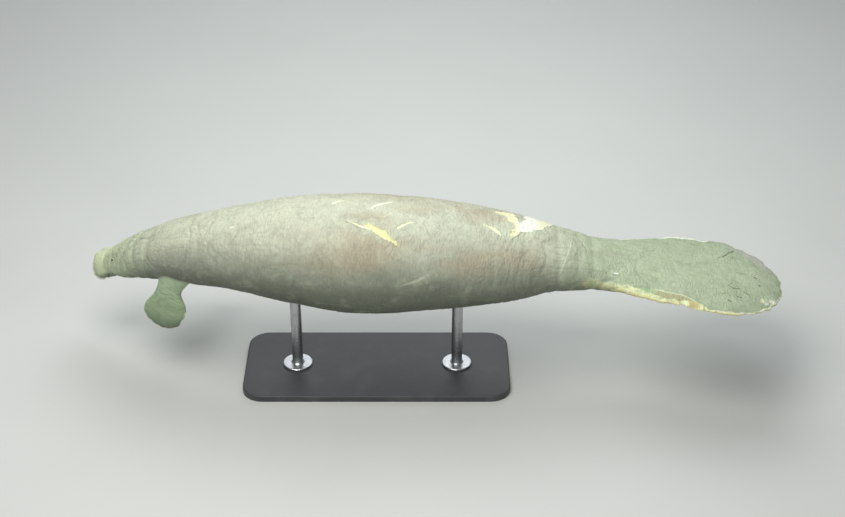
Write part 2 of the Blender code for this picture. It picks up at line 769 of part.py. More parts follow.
def make_base():
    """The base plate: a rectangle with round corners and a bevelled top rim."""
    shape = bmesh.new()
    corners = []
    for x_sign, y_sign, start in ((1, 1, 0), (-1, 1, 90), (-1, -1, 180), (1, -1, 270)):
        for step in range(BASE_CORNER_STEPS + 1):
            turn = math.radians(start + 90.0 * step / BASE_CORNER_STEPS)
            x = x_sign * (BASE_LENGTH / 2 - BASE_CORNER) + BASE_CORNER * math.cos(turn)
            y = y_sign * (BASE_WIDTH / 2 - BASE_CORNER) + BASE_CORNER * math.sin(turn)
            corners.append(shape.verts.new((x, y, 0.0)))
    bottom = shape.faces.new(corners)
    raised = bmesh.ops.extrude_face_region(shape, geom=[bottom])["geom"]
    top = [item for item in raised if isinstance(item, bmesh.types.BMVert)]
    bmesh.ops.translate(shape, verts=top, vec=(0.0, 0.0, BASE_THICKNESS))
    rim = [edge for edge in shape.edges if all(vert in top for vert in edge.verts)]
    bmesh.ops.bevel(shape, geom=rim, offset=BASE_BEVEL, segments=3, affect="EDGES", profile=0.5)
    finish_node(shape_object("stand_base", shape, BASE_FINISH), (0.0, 0.0, 0.0))


def make_rod(name, x, torso):
    """A rod with a round foot plate, cut to the belly that it carries."""
    foot = BASE_THICKNESS + NODE_GAP
    profile = (
        (FLANGE_RADIUS, foot),
        (FLANGE_RADIUS, foot + FLANGE_THICKNESS - FLANGE_BEVEL),
        (FLANGE_RADIUS - FLANGE_BEVEL, foot + FLANGE_THICKNESS),
        (ROD_RADIUS + WELD, foot + FLANGE_THICKNESS),
        (ROD_RADIUS, foot + FLANGE_THICKNESS + WELD),
        (ROD_RADIUS, SPINE_HEIGHT - ROD_TOP_BELOW_SPINE),
    )
    turns = np.arange(ROD_SIDES) * 2 * math.pi / ROD_SIDES
    rings = [
        np.stack([x + r * np.cos(turns), r * np.sin(turns), np.full(ROD_SIDES, z)], axis=1)
        for r, z in profile
    ]
    rod = mesh_object(name, *lofted(rings, None, None), ROD_FINISH)
    boolean(rod, "DIFFERENCE", [swollen_copy(torso)])
    finish_node(rod, (x, 0.0, foot))


def make_stand(torso):
    make_base()
    make_rod("stand_rod_front", -ROD_SPACING / 2, torso)
    make_rod("stand_rod_rear", ROD_SPACING / 2, torso)


def main():
    for obj in list(bpy.data.objects):
        bpy.data.objects.remove(obj)
    make_head()
    make_eyes()
    neck, torso = make_neck(), make_torso()
    make_tail_stock()
    make_tail_paddle()
    make_flippers((neck, torso))
    make_stand(torso)
    finish_node(neck, bend([NECK_END, 0.0, 0.0]))
    finish_node(torso, bend([STAND_CENTRE_ALONG, 0.0, 0.0]))


main()
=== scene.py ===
# Looks of the manatee display model. One skin with folds, wrinkles, scars, lips,
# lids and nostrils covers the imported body, and eyes, nails, bristles and hairs
# sit on it. Metres, +Z up. The animal faces -X, so its left side is at -Y.
#
# The body is shaped as a straight animal first, in its own space (s, y, z):
# s runs from the snout to the tail's tip, y to the animal's right and z up.
# Bending it along the spine gives the pose.

import contextlib
import math

import bmesh
import bpy
import numpy as np
from mathutils import Matrix, Vector, noise
from mathutils.kdtree import KDTree


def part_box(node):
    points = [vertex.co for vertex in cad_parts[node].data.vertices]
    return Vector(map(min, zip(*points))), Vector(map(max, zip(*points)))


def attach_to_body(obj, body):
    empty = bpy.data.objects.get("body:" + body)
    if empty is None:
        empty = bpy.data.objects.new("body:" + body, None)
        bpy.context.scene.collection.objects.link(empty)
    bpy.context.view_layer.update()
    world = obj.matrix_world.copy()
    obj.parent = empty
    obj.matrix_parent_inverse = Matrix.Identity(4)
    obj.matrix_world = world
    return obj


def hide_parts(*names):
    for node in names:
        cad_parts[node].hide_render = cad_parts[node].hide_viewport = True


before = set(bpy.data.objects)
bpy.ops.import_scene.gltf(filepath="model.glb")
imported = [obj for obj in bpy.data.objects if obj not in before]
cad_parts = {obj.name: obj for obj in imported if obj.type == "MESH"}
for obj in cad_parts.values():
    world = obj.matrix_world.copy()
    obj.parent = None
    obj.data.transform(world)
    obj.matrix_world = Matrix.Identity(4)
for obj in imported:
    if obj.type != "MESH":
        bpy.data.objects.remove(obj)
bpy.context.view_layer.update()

# Driving dimensions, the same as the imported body's
BODY_LENGTH = 3.08
SPINE_HEIGHT = 0.60
NOSE_DEPTH = 0.066
NOSE_BLUNTNESS = 2.5
PADDLE_END_LENGTH = 0.28
PADDLE_END_ROUNDNESS = 1.86
PADDLE_EDGE = 0.0075
PADDLE_CORE_POWER = 1.9
PADDLE_EDGE_POWER = 0.55
STAND_CENTRE_ALONG = 1.34

# Sections of the straight body: along, half width, height above and below the
# spine, corner fullness (1 is an ellipse, less is squarer) and share of paddle
SECTIONS = (
    ("muzzle", 0.000, 0.076, 0.051, 0.053, 0.86, 0.0),
    ("lip pads", 0.040, 0.083, 0.055, 0.057, 0.86, 0.0),
    ("muzzle crease", 0.085, 0.081, 0.055, 0.058, 0.90, 0.0),
    ("eyes", 0.155, 0.097, 0.069, 0.069, 0.94, 0.0),
    ("jowls", 0.235, 0.114, 0.089, 0.086, 0.96, 0.0),
    ("nape", 0.345, 0.133, 0.110, 0.105, 1.00, 0.0),
    ("neck", 0.455, 0.158, 0.130, 0.121, 1.00, 0.0),
    ("shoulders", 0.680, 0.201, 0.160, 0.141, 1.00, 0.0),
    ("chest", 0.960, 0.264, 0.204, 0.202, 1.00, 0.0),
    ("belly", 1.270, 0.297, 0.228, 0.243, 1.00, 0.0),
    ("loins", 1.590, 0.284, 0.212, 0.217, 1.00, 0.0),
    ("hips", 1.900, 0.248, 0.173, 0.165, 1.00, 0.0),
    ("tail stock", 2.110, 0.200, 0.130, 0.095, 0.98, 0.1),
    ("peduncle", 2.300, 0.192, 0.076, 0.078, 0.96, 0.45),
    ("paddle root", 2.460, 0.252, 0.057, 0.056, 0.96, 0.85),
    ("paddle", 2.620, 0.304, 0.043, 0.043, 0.96, 1.0),
    ("widest paddle", 2.760, 0.318, 0.036, 0.036, 0.96, 1.0),
    ("paddle end", 3.080, 0.326, 0.022, 0.022, 0.96, 1.0),
)

# Pose of the spine: share of the length, rise towards the tail, turn of the
# head and tail to the animal's right, and roll that lifts the left side
SPINE = (
    (0.00, 27.0, 30.0, 0.0), (0.05, 24.5, 29.0, 0.0), (0.10, 21.5, 26.5, 0.0),
    (0.17, 15.5, 19.5, 0.0), (0.25, 4.7, 9.0, 0.0), (0.35, -1.5, 1.5, 0.0),
    (0.50, -1.5, 0.0, 0.0), (0.62, -4.5, 0.0, 0.5), (0.72, -5.2, 0.5, 1.5),
    (0.82, -5.0, 2.3, 2.5), (1.00, -10.0, 4.2, 3.0),
)
SPINE_SAMPLES = 1233
STRAIGHTEN_ROUNDS = 6

# Soft swellings and folds of the straight body: place (s, y, z), reach along
# each axis and rise. Each is mirrored to the other side.
BULGES = (
    ("lip pad", (0.014, 0.044, -0.028), (0.040, 0.029, 0.031), 0.014),
    ("lip corner", (0.068, 0.078, -0.034), (0.036, 0.032, 0.022), 0.011),
    ("nostril mound", (0.030, 0.024, 0.057), (0.026, 0.018, 0.032), 0.008),
    ("nostril dip", (0.018, 0.000, 0.052), (0.030, 0.011, 0.022), -0.002),
    ("lower lip", (0.080, 0.000, -0.066), (0.034, 0.046, 0.032), 0.015),
    ("philtrum", (0.002, 0.000, -0.038), (0.036, 0.010, 0.036), -0.011),
    ("cheek", (0.205, 0.104, -0.040), (0.060, 0.050, 0.048), 0.009),
    ("brow", (0.168, 0.073, 0.063), (0.036, 0.026, 0.024), 0.006),
    ("eye hollow", (0.176, 0.093, 0.038), (0.024, 0.032, 0.018), -0.005),
    ("shoulder", (0.620, 0.180, -0.045), (0.100, 0.080, 0.095), 0.012),
)
# Ring folds: along, half width, depth, and how much of it reaches the back
RING_FOLDS = (
    ("muzzle fold", 0.098, 0.016, 0.0055, 1.0),
    ("brow fold", 0.128, 0.009, 0.0026, 1.0),
    ("throat fold", 0.268, 0.014, 0.0065, 0.25),
    ("nape fold", 0.318, 0.013, 0.0060, 0.8),
    ("neck fold", 0.398, 0.016, 0.0080, 0.7),
    ("tail fold", 2.100, 0.016, 0.0036, 1.0),
    ("peduncle fold", 2.250, 0.018, 0.0045, 1.0),
)
FOLD_FADE = 0.1
LEANING_RELIEF_END = 0.15
LEANING_RELIEF_FADE = 0.10

# Head openings, as places on the skin: along and angle round from the side
EYE_ALONG = 0.176
EYE_ANGLE = 24.0
EYE_RADIUS = 0.0100
EYE_SINK = 0.0064
EYE_FRONT = 0.045
EYE_FRONT_REACH = 0.5
EYE_SEGMENTS = (64, 48)
LID_THICKNESS = 0.0016
LID_BLEND = 0.0022
EYE_SLIT = (0.0072, 0.0046)
EYE_SLIT_POWER = 1.7
EYE_SLIT_RIM = (0.93, 1.22)
EYE_SLIT_RISE = 0.0003
BALL_CLEARANCE = 0.0026
EYE_REACH = 0.034
EYE_FADE = (0.022, 0.032)
EYE_OVAL = (1.15, 0.92)
EYE_SPOKES = 13
SPOKE_RISE = 0.00045
SPOKES_START = (0.009, 0.014)
LID_SPOKE_RISE = 0.0005
LID_SPOKES_START = (0.0045, 0.008)
# Noises of the eye's oval, the spokes' wobble and where spokes show: height, size, shift
EYE_OVAL_NOISE = ((0.09, 0.022, 33.0),)
SPOKE_WOBBLE = ((2.4, 0.014, 31.0),)
SPOKE_PATCHES = ((1.0, 0.018, 37.0),)
SPOKE_PATCH_EDGE = (-0.30, 0.25)
ABOVE_EYE = (-0.012, 0.004)
# Darker lids: middle and reach in slit openings, and share and reach of the painted shade in the
# first ring wrinkle
LID_MASK = (1.1, 0.35)
FIRST_RING_SHADE = (0.5, 0.0015)
# Ring wrinkles round the eye: distance, width, depth, and 1 where only above the eye
EYE_RINGS = (
    (0.0135, 0.0013, 0.0011, 0),
    (0.0185, 0.0014, 0.00088, 1),
    (0.0245, 0.0016, 0.00055, 0),
)
NOSTRIL_ALONG = 0.026
NOSTRIL_ANGLE = 66.0
NOSTRIL_RADIUS = 0.0125
NOSTRIL_HALF_TURN = 74.0
NOSTRIL_DEPTH = 0.0046
NOSTRIL_WIDTH = 0.0018
NOSTRIL_REACH = 0.035
NOSTRIL_FLAP = (0.0016, 0.0085)
NOSTRIL_RIM = (0.0012, 0.0048, 0.0030)
NOSTRIL_RIM_ENDS = (-0.010, 0.004)
# The mouth's line: along, and angle below the side, from the chin backwards
MOUTH_LINE = (
    (0.028, -90.0), (0.032, -76.0), (0.046, -60.0), (0.066, -47.0), (0.094, -39.0),
    (0.120, -35.0), (0.142, -34.0), (0.156, -40.0),
)
MOUTH_POINTS = 90
MOUTH_DEPTH = 0.0065
MOUTH_WIDTH = 0.0023
MOUTH_CALM = 0.006
MOUTH_FADE = (0.72, 1.0)
# Lips: rise, distance from the mouth's line and width
LIPS = (0.0016, 0.0075, 0.0042)
# Bristly pads of the muzzle: place (s, y, z), reach along each axis and strength
MUZZLE_PADS = (
    ((0.022, 0.056, -0.030), (0.034, 0.034, 0.034), 1.5),
    ((0.072, 0.000, -0.094), (0.026, 0.046, 0.022), 1.0),
)
PAD_EDGE = 0.03
PIT_SIZE = 0.0042
PIT_DEPTH = 0.0006
PIT_REACH = 0.22
# Share of painted shade in the pads' pits
PIT_SHADE = 0.8
FINE_HEAD_END = 0.20

# Flippers: share of the length, leading and trailing half chord, half depth
FLIPPER_LENGTH = 0.395
FLIPPER_SECTIONS = (
    (0.00, 0.078, 0.082, 0.056), (0.14, 0.068, 0.068, 0.050), (0.28, 0.056, 0.056, 0.038),
    (0.42, 0.066, 0.090, 0.030), (0.58, 0.098, 0.090, 0.025), (0.75, 0.092, 0.080, 0.020),
    (1.00, 0.074, 0.076, 0.016),
)
FLIPPER_TIP_LENGTH = 0.20
FLIPPER_TIP_ROUNDNESS = 2.2
FLIPPER_EDGE = 0.0055
FLIPPER_ROOT = (0.515, 0.100, -0.035)
# Pose of each flipper: share of the length, splay away from straight down,
# swing towards the head and twist that turns the leading edge outwards
FLIPPER_POSES = {
    -1: (
        (0.00, 20.0, 46.0, 0.0), (0.25, 14.0, 31.5, 0.0), (0.45, -2.0, 30.5, 0.0),
        (0.70, -25.0, 27.5, 0.0), (1.00, -45.5, 15.5, 0.0),
    ),
    1: (
        (0.00, 58.0, 30.0, 0.0), (0.25, 54.0, 24.0, 0.0), (0.45, 47.0, 10.0, 0.0),
        (0.70, 40.0, -4.0, 0.0), (1.00, 30.0, -14.0, 0.0),
    ),
}
FLIPPER_SAMPLES = 201
# Half width and half depth that a flipper's wrinkles and colours are laid out on
FLIPPER_HALVES = (0.08, 0.03)
# Level of the flippers' colour, from -1 at the belly to 1 at the back
FLIPPER_LEVEL = -0.2

# Nails: share of the flipper's length and side position on its outer face
NAILS = ((0.905, -0.66), (0.945, -0.34), (0.955, 0.12), (0.930, 0.56))
NAIL_LENGTH = 0.026
NAIL_WIDTH = 0.018
NAIL_RISE = 0.0030
NAIL_DEPTH = 0.0018
NAIL_STEP = 0.01
NAIL_SEGMENTS = (48, 32)
NAIL_RIDGES = 14.0
NAIL_RIDGE_RISE = 0.05
NAIL_BLUNTNESS = 0.10
NAIL_FULLNESS = 0.6

# Nicks in the paddle's rim: along, side (-1 left) and radius
RIM_NICKS = (
    (2.620, -1.0, 0.014), (2.715, -1.0, 0.007), (2.670, 1.0, 0.008), (3.030, 1.0, 0.011),
    (3.055, -1.0, 0.009),
)
NICK_ROUND = (0.80, 0.97)
# Ruffles of the rim, ruffles of the paddle's end and waves: height, size and shift
RIM_RUFFLES = ((0.0040, 0.050, 0.0), (0.0022, 0.019, 5.0))
END_RUFFLES = ((0.0045, 0.036, 9.0),)
RIM_WAVES = ((0.0055, 0.14, 2.0), (0.0022, 0.045, 4.0))
RIM_POWER = 6
WAVE_POWER = 2.5
PADDLE_MIDDLE = (2.70, 0.0, 0.0)
PADDLE_STARTS = (2.18, 2.55)
PADDLE_TIP = 0.05
END_RUFFLES_START = (2.96, 3.05)

# How finely the skin is made: points around, and step along from each place
SKIN_AROUND = 360
RING_SAMPLES = 6001
RING_STEPS = (
    (0.00, 0.0016), (0.20, 0.0017), (0.30, 0.0024), (0.46, 0.0032), (0.70, 0.0048),
    (1.90, 0.0050), (2.10, 0.0042), (3.08, 0.0045),
)
POLE_REACH = 1e-5
WELD_REACH = 2e-6
FLIPPER_AROUND = 150
FLIPPER_RINGS = 130
# Finer places of the head: along, angle, and reach of once and twice halved faces
HEAD_DETAIL = (
    (EYE_ALONG, EYE_ANGLE, 0.036, 0.017),
    (NOSTRIL_ALONG, NOSTRIL_ANGLE, 0.030, 0.022),
)
HEAD_DETAIL_END = 0.24
HEAD_GIRTH = 0.10
MOUTH_DETAIL = 0.016
MOUTH_LEVEL = 0.45
# Where the scars are, along and in radians round the body, and how near to an
# edge faces are halved and halved again
SCARRED_ALONG = (1.1, 2.4)
SCARRED_ROUND = (0.6, 2.6)
SCAR_DETAIL = (0.014, 0.008)
# How far round a nick faces are halved: in its radii along, and in radians round
NICK_DETAIL = (1.8, 0.45)

# How deep the wrinkles are along the body: along, wandering folds, fine creases
WRINKLES = (
    (0.00, 0.0006, 0.0005), (0.06, 0.0009, 0.0006), (0.12, 0.0015, 0.0007),
    (0.22, 0.0018, 0.0007), (0.35, 0.0030, 0.0009), (0.50, 0.0030, 0.0010),
    (0.75, 0.0018, 0.0008), (1.20, 0.0010, 0.0006), (1.75, 0.0012, 0.0006),
    (2.05, 0.0026, 0.0009), (2.30, 0.0024, 0.0009), (2.60, 0.0010, 0.0005),
    (3.08, 0.0004, 0.0003),
)
# How large they are along the body
WRINKLE_SIZES = ((0.0, 0.5), (0.25, 0.75), (0.6, 1.2), (1.2, 1.5), (2.0, 1.3), (2.6, 1.5))
# Noise of the ring, cross and small wrinkles: size, stretch, shift, crease width
WRINKLE_NOISE = (
    (0.034, (1.0, 0.20, 0.20), 0.0, 0.16),
    (0.030, (0.45, 0.9, 0.9), 7.3, 0.13),
    (0.0125, (1.0, 0.42, 0.42), 3.1, 0.20),
)
WRINKLE_WARP = 0.018
WRINKLE_WARP_SIZE = 0.11
BODY_LUMPS = ((0.0022, 0.16, 11.0),)
BODY_LUMPS_START = (0.25, 0.8)
FOLD_CROWN = 0.55
CROSS_SHARE = 0.45
FINE_CROWN = 0.3
DEEPEST_FOLD = 0.003

# The same for a flipper's ring and small wrinkles, with their depths
FLIPPER_WRINKLES = (
    (0.026, (1.0, 0.22, 0.22), 0.0, 0.17, 0.0016),
    (0.011, (1.0, 0.5, 0.5), 4.0, 0.20, 0.0006),
)
FLIPPER_WARP = 0.010
FLIPPER_WARP_SIZE = 0.07
FLIPPER_LUMPS = ((0.0014, 0.09, 6.0),)
FLIPPER_RUFFLES = ((0.0022, 0.030, 0.0),)
FLIPPER_RUFFLES_START = (0.4, 0.6)
# Deeper wrinkles at the wrist and palm: least, then share of the length, reach, strength
WRIST_LEAST = 0.4
WRIST_FOLDS = ((0.30, 0.12, 1.0), (0.62, 0.16, 0.5))
FINGERS = 5
FINGER_RISE = 0.0007
FINGERS_START = (0.45, 0.62)
FINGERS_END = (0.86, 1.0)

# Thin scars as strokes: name, how white, how strongly it shows, how ragged, and
# its path as (along, degrees round from the right side over the back, half width)
STROKES = (
    ("thin end of the long cut", 0.5, 1.0, 0.3, (
        (1.222, 111.5, 0.0016), (1.242, 113.5, 0.0034), (1.268, 116.4, 0.0036),
        (1.292, 118.4, 0.0040), (1.316, 120.0, 0.0050),
    )),
    ("long cut", 0.2, 1.0, 1.0, (
        (1.294, 115.2, 0.0050), (1.319, 117.6, 0.0125), (1.343, 120.2, 0.0145),
        (1.365, 123.8, 0.0150), (1.390, 127.4, 0.0125), (1.415, 131.8, 0.0080),
        (1.440, 135.8, 0.0015),
    )),
    ("ridge cut", 0.6, 1.0, 0.3, (
        (1.320, 95.0, 0.0026), (1.342, 90.4, 0.0056), (1.366, 87.4, 0.0062),
        (1.390, 85.2, 0.0048), (1.408, 83.6, 0.0016),
    )),
    ("flank cut", 0.5, 1.0, 0.3, (
        (1.432, 117.6, 0.0030), (1.452, 114.6, 0.0048), (1.476, 111.5, 0.0044),
        (1.502, 109.6, 0.0012),
    )),
    ("faint cut", 0.6, 0.62, 0.3, (
        (1.155, 88.8, 0.0030), (1.176, 85.0, 0.0050), (1.204, 83.2, 0.0026),
    )),
    ("hip cut", 0.5, 0.95, 0.5, (
        (1.786, 105.0, 0.0036), (1.805, 106.4, 0.0066), (1.826, 108.8, 0.0092),
        (1.840, 112.2, 0.0086), (1.850, 114.7, 0.0020),
    )),
    ("faint arc", 0.5, 0.30, 0.3, (
        (1.372, 106.5, 0.0030), (1.388, 103.4, 0.0040), (1.402, 101.0, 0.0020),
    )),
    ("streak on the belly", 0.8, 0.25, 0.4, (
        (1.450, 176.0, 0.003), (1.505, 170.5, 0.007), (1.558, 164.0, 0.002),
    )),
    ("line round the tail stock", 0.6, 0.30, 0.2, (
        (2.158, 91.5, 0.0020), (2.146, 112.0, 0.0026), (2.122, 138.0, 0.0026),
        (2.100, 164.0, 0.0015),
    )),
    ("speck on the shoulder", 0.8, 0.6, 0.2, ((0.772, 116.5, 0.0050), (0.780, 116.0, 0.0050))),
    ("speck on the tail", 0.9, 0.9, 0.2, ((2.338, 135.5, 0.0050), (2.350, 134.5, 0.0050))),
)
# Pale patches on the paddle's upper face: along, across, radius, how white, how
# strongly each shows
PADDLE_PATCHES = (
    (3.004, -0.1720, 0.0150, 1.0, 0.75), (2.966, -0.1850, 0.0095, 0.3, 0.60),
    (2.984, -0.1960, 0.0070, 0.7, 0.50),
)
# The wide scar over the tail stock, as its outline
WIDE_SCAR = (
    (1.896, 117.9), (1.906, 114.8), (1.923, 111.0), (1.941, 105.8), (1.975, 102.1), (2.002, 98.4),
    (2.024, 93.0), (2.041, 84.9), (2.067, 76.6), (2.093, 56.2), (2.105, 48.0), (2.085, 46.5),
    (2.050, 45.0), (2.010, 44.0), (1.985, 50.0), (1.968, 63.0), (1.955, 77.5), (1.940, 88.0),
    (1.929, 90.9), (1.925, 83.0), (1.914, 76.0), (1.903, 70.0), (1.880, 71.5), (1.854, 73.0),
    (1.838, 73.5), (1.838, 76.0), (1.855, 78.5), (1.872, 80.6), (1.884, 89.2), (1.904, 94.9),
    (1.913, 98.1), (1.905, 102.5), (1.892, 107.8), (1.887, 111.6), (1.890, 115.5),
)
# How white it is, and how much more between places along the body
WIDE_SCAR_WHITE = 0.40
WIDE_SCAR_STEPS = ((0.55, 1.910, 1.950), (-0.45, 1.990, 2.030))
# Metres round the back for each radian, as a share of the half width
BACK_SPREAD = 0.93
# Ragged edges: height, size and shift of their noise
SCAR_RAGGED = ((0.0050, 0.024, 27.0), (0.0026, 0.010, 23.0))
# Ridge round a scar (rise, distance, width), dip in it (depth, reach) and smoothness
SCAR_RIDGE = (0.0010, 0.0025, 0.0030)
SCAR_DIP = (0.0016, 0.006)
SCAR_SMOOTH = 0.8
SCAR_SMOOTH_REACH = 0.010
# Pale worn band on the paddle's left rim: along and width
RIM_BAND = (
    (2.186, -0.004), (2.225, 0.009), (2.270, 0.010), (2.360, 0.014), (2.430, 0.024),
    (2.480, 0.020), (2.560, 0.018), (2.610, 0.022), (2.655, 0.038), (2.690, 0.034),
    (2.725, 0.012), (2.800, 0.006), (3.080, 0.006),
)
# Inner edge of the stained zone beside the band: along and distance from the rim
STAINED_ZONE = (
    (2.400, 0.000), (2.450, 0.036), (2.500, 0.047), (2.560, 0.052), (2.620, 0.060),
    (2.660, 0.050), (2.700, 0.020), (2.740, 0.000),
)
# Dark scratches on the paddle's upper face: half width, and their path as
# places (along, to the right)
SCRATCHES = (
    (0.0029, (2.806, 0.108), (2.846, 0.150), (2.896, 0.236)),
    (0.0024, (2.826, 0.118), (2.866, 0.196)), (0.0018, (2.850, 0.096), (2.878, 0.150)),
    (0.0025, (2.872, 0.004), (2.912, -0.002)), (0.0054, (2.952, -0.010), (2.958, -0.014)),
    (0.0040, (2.964, -0.070), (2.968, -0.076)),
    (0.0025, (2.846, -0.098), (2.824, -0.126), (2.850, -0.142), (2.874, -0.134)),
    (0.0020, (2.890, -0.150), (2.904, -0.166), (2.920, -0.162)),
    (0.0018, (2.796, -0.196), (2.812, -0.186), (2.828, -0.192)),
    (0.0016, (2.856, -0.196), (2.880, -0.200)), (0.0047, (2.816, -0.240), (2.823, -0.246)),
    (0.0021, (2.616, -0.262), (2.628, -0.296)), (0.0021, (2.630, -0.256), (2.634, -0.294)),
    (0.0018, (2.600, -0.272), (2.620, -0.292)),
)

# Fields that are kept on the skin's points for its colours
STRAIGHT_FIELDS = ("straight_s", "straight_y", "straight_z")
FAR_FIELDS = ("scar", "band", "rim", "scratch", "stain")
# Rounding where a flipper leaves the body: search, reach, rounds and pull
JUNCTION_SEARCH = 0.30
JUNCTION_REACH = 0.050
JUNCTION_ROUNDS = 36
JUNCTION_PULL = 0.6
# Share of the creases' painted shade taken away where a flipper meets the body
JUNCTION_CALM = 0.8
ROD_CALM = (0.03, 0.10)

# The skin's map: the body's share, and the place and size of each flipper's
BODY_MAP_EDGE = 0.004
BODY_MAP_TOP = 0.72
LIMB_MAPS = {1: (0.02, 0.74), 2: (0.52, 0.74)}
LIMB_MAP_SIZE = (0.46, 0.24)

# Hairs: name, how many, shortest, longest, radius and how far they lie down
HAIRS = (
    ("bristles", 620, 0.0060, 0.0120, 0.00042, 0.25),
    ("face_hairs", 900, 0.0050, 0.0090, 0.00020, 0.55),
    ("body_hairs", 3600, 0.0090, 0.0170, 0.00022, 0.75),
)
HAIR_SEED = 7
HAIR_RADII = (0.75, 1.15)
HAIR_DRIFT = 0.25
BRISTLE_TILT = 0.4
BRISTLE_CROWDING = 1.5
# Where hairs grow: distance from a scar, most of the lids' and lips' marks, and along
HAIR_FROM_SCAR = 0.003
HAIR_MARKS = 0.05
FACE_HAIRS_END = 0.30
BODY_HAIRS_ALONG = (0.28, 2.7)
# Most of the flippers' share that face hairs and body hairs grow on
HAIR_LIMB_SHARES = (0.1, 0.5)
HAIR_PATCH = 0.003
# Shares of a hair's length: below the skin, up to its bend, along its lie there and after
HAIR_BELOW = 0.15
HAIR_RISE = 0.5
HAIR_LIE = (0.05, 0.55)
HAIR_TAPER = 0.7
# Each hair's map places inside its patch, in the order of its points
HAIR_SPOTS = ((0, 0), (1, 0), (0, 1), (0.3, 0.2), (0.7, 0.2), (0.3, 0.7), (0.5, 0.5))

# Camera, as the photo was taken: angle above level, distance and lens
CAMERA_RISE = 31.0
CAMERA_DISTANCE = 7.0
CAMERA_LENS = 68.86
CAMERA_TARGET = (0.199, 0.121, 0.495)
CAMERA_SENSOR = 36.0
# Lights: name, place, target, size, power and colour
LIGHTS = (
    ("key", (-0.8, -1.6, 4.2), (0.1, 0.1, 0.4), 3.2, 131.0, (1.0, 0.985, 0.95)),
    ("top", (0.6, 1.6, 3.8), (0.2, 0.2, 0.5), 3.0, 56.0, (0.95, 0.98, 1.0)),
    ("back", (0.0, 4.6, 4.6), (0.0, 4.3, 0.0), 5.0, 110.0, (0.97, 0.99, 1.0)),
    ("front", (0.4, -4.2, 1.6), (0.2, 0.0, 0.4), 2.4, 12.0, (1.0, 0.99, 0.97)),
)
ROOM_COLOUR = (0.88, 0.92, 0.96, 1.0)
ROOM_STRENGTH = 0.28
FLOOR_HALF = 20.0


def srgb(red, green, blue):
    """Linear colour of a picture colour given from 0 to 255."""
    share = np.array([red, green, blue]) / 255.0
    linear = np.where(share <= 0.04045, share / 12.92, ((share + 0.055) / 1.055) ** 2.4)
    return (*map(float, linear), 1.0)


# Skin colours
BACK = srgb(200, 204, 181)
FLANK = srgb(156, 161, 144)
LOW_FLANK = srgb(112, 118, 103)
BELLY = srgb(90, 96, 84)
TAN = srgb(172, 158, 130)
GREEN = srgb(172, 190, 152)
HEAD_GREEN = srgb(198, 214, 176)
PALE_GREEN = srgb(202, 215, 184)
# Dark mottle, and painted shade in creases, pits and the fine wrinkles' lines
MOTTLE_AND_CREASE_SHADE = srgb(118, 121, 104)
MUZZLE = srgb(206, 216, 176)
FLIPPER_ROOT_SKIN = srgb(178, 200, 162)
FLIPPER_UPPER = srgb(164, 186, 146)
# Flippers' outer half, darker as painted shade
FLIPPER_TIP_SHADE = srgb(112, 134, 102)
SCAR_YELLOW = srgb(228, 225, 166)
SCAR_WHITE = srgb(238, 242, 228)
SCAR_TAN = srgb(206, 190, 130)
RIM_PALE = srgb(222, 233, 192)
RIM_GOLD = srgb(216, 214, 156)
RIM_LILAC = srgb(184, 182, 178)
RIM_WHITE = srgb(236, 240, 218)
STAIN_GREEN = srgb(158, 190, 140)
STAIN_TAN = srgb(176, 172, 128)
SPOT_DARK = srgb(98, 104, 90)
SCRATCH_DARK = srgb(78, 84, 64)
# Painted shade in the mouth's line and the nostrils' slits
SLIT_SHADE = srgb(74, 72, 64)
# Darker lids, and painted shade in the first ring wrinkle round each eye
LID_SKIN_AND_RING_SHADE = srgb(146, 148, 130)
# Colours up the body from the belly, darker below as painted shade of the light from above: colour,
# and the levels where it starts and is full
PAINTED_SHADE_UP_THE_BODY = ((LOW_FLANK, -0.58, -0.20), (FLANK, -0.22, 0.40), (BACK, 0.26, 0.92))
# Where colours start and are full, in metres along the straight body
PALE_HEAD = (0.55, 0.16)
# Painted shade in creases, fuller towards the head
CREASE_SHADE_ALONG = (0.50, 0.20)
PALE_MUZZLE = (0.24, 0.03)
GREEN_HEAD = (0.50, 0.16)
GREENEST_HEAD = (0.50, 0.22)
GREEN_TAIL = (1.98, 2.36)
TAN_START = (0.80, 1.40)
TAN_END = (2.20, 1.88)
FLIPPER_UPPER_START = (0.60, 0.70)
# Where the flippers' painted shade starts and is full
FLIPPER_TIP_SHADE_START = (0.72, 0.86)
RIM_LINE_START = (2.34, 2.40)
RIM_LINE_LEAVES_EDGE = (2.52, 2.38)
FAR_RIM_END = (2.80, 2.76)
LILAC_START = (2.82, 2.90)
BAND_START = (2.24, 2.40)
STAIN_TURNS_TAN = (2.495, 2.515)
BORDER_START = (2.48, 2.54)
BORDER_END = (2.70, 2.66)
LUMP_START = (2.640, 2.655)
LUMP_END = (2.700, 2.680)
# Noises of the skin's colours: size in metres and detail
CLOUDS = (0.17, 4.0)
TAN_CLOUDS = (0.21, 3.0)
GREEN_CLOUDS = (0.10, 3.0)
STREAKS = (0.10, 3.0)
BLOTCHES = (0.060, 5.0)
GRAIN = (0.013, 4.0)
SCRATCH_GAPS = (0.022, 3.0)
SCAR_FRAYS = (0.0085, 3.0)
HALO_GAPS = (0.045, 3.0)
YELLOW_TISSUE = (0.016, 4.0)
RIM_FRAYS = (0.011, 3.0)
RIM_WANDER = (0.034, 3.0)
RIM_LINE_GAPS = (0.055, 3.0)
YELLOW_BAND = (0.026, 3.0)
GREEN_BAND = (0.040, 3.0)
BAND_GAPS = (0.024, 4.0)
SHINE_PATCHES = (0.08, 4.0)
# Spacing of dark spots and scar pits, and the size of the patches they show in
SPOT_SPACING = 0.075
SPOT_PATCHES = 0.31
SCAR_PIT_SPACING = 0.024
SCAR_PIT_PATCHES = 0.060
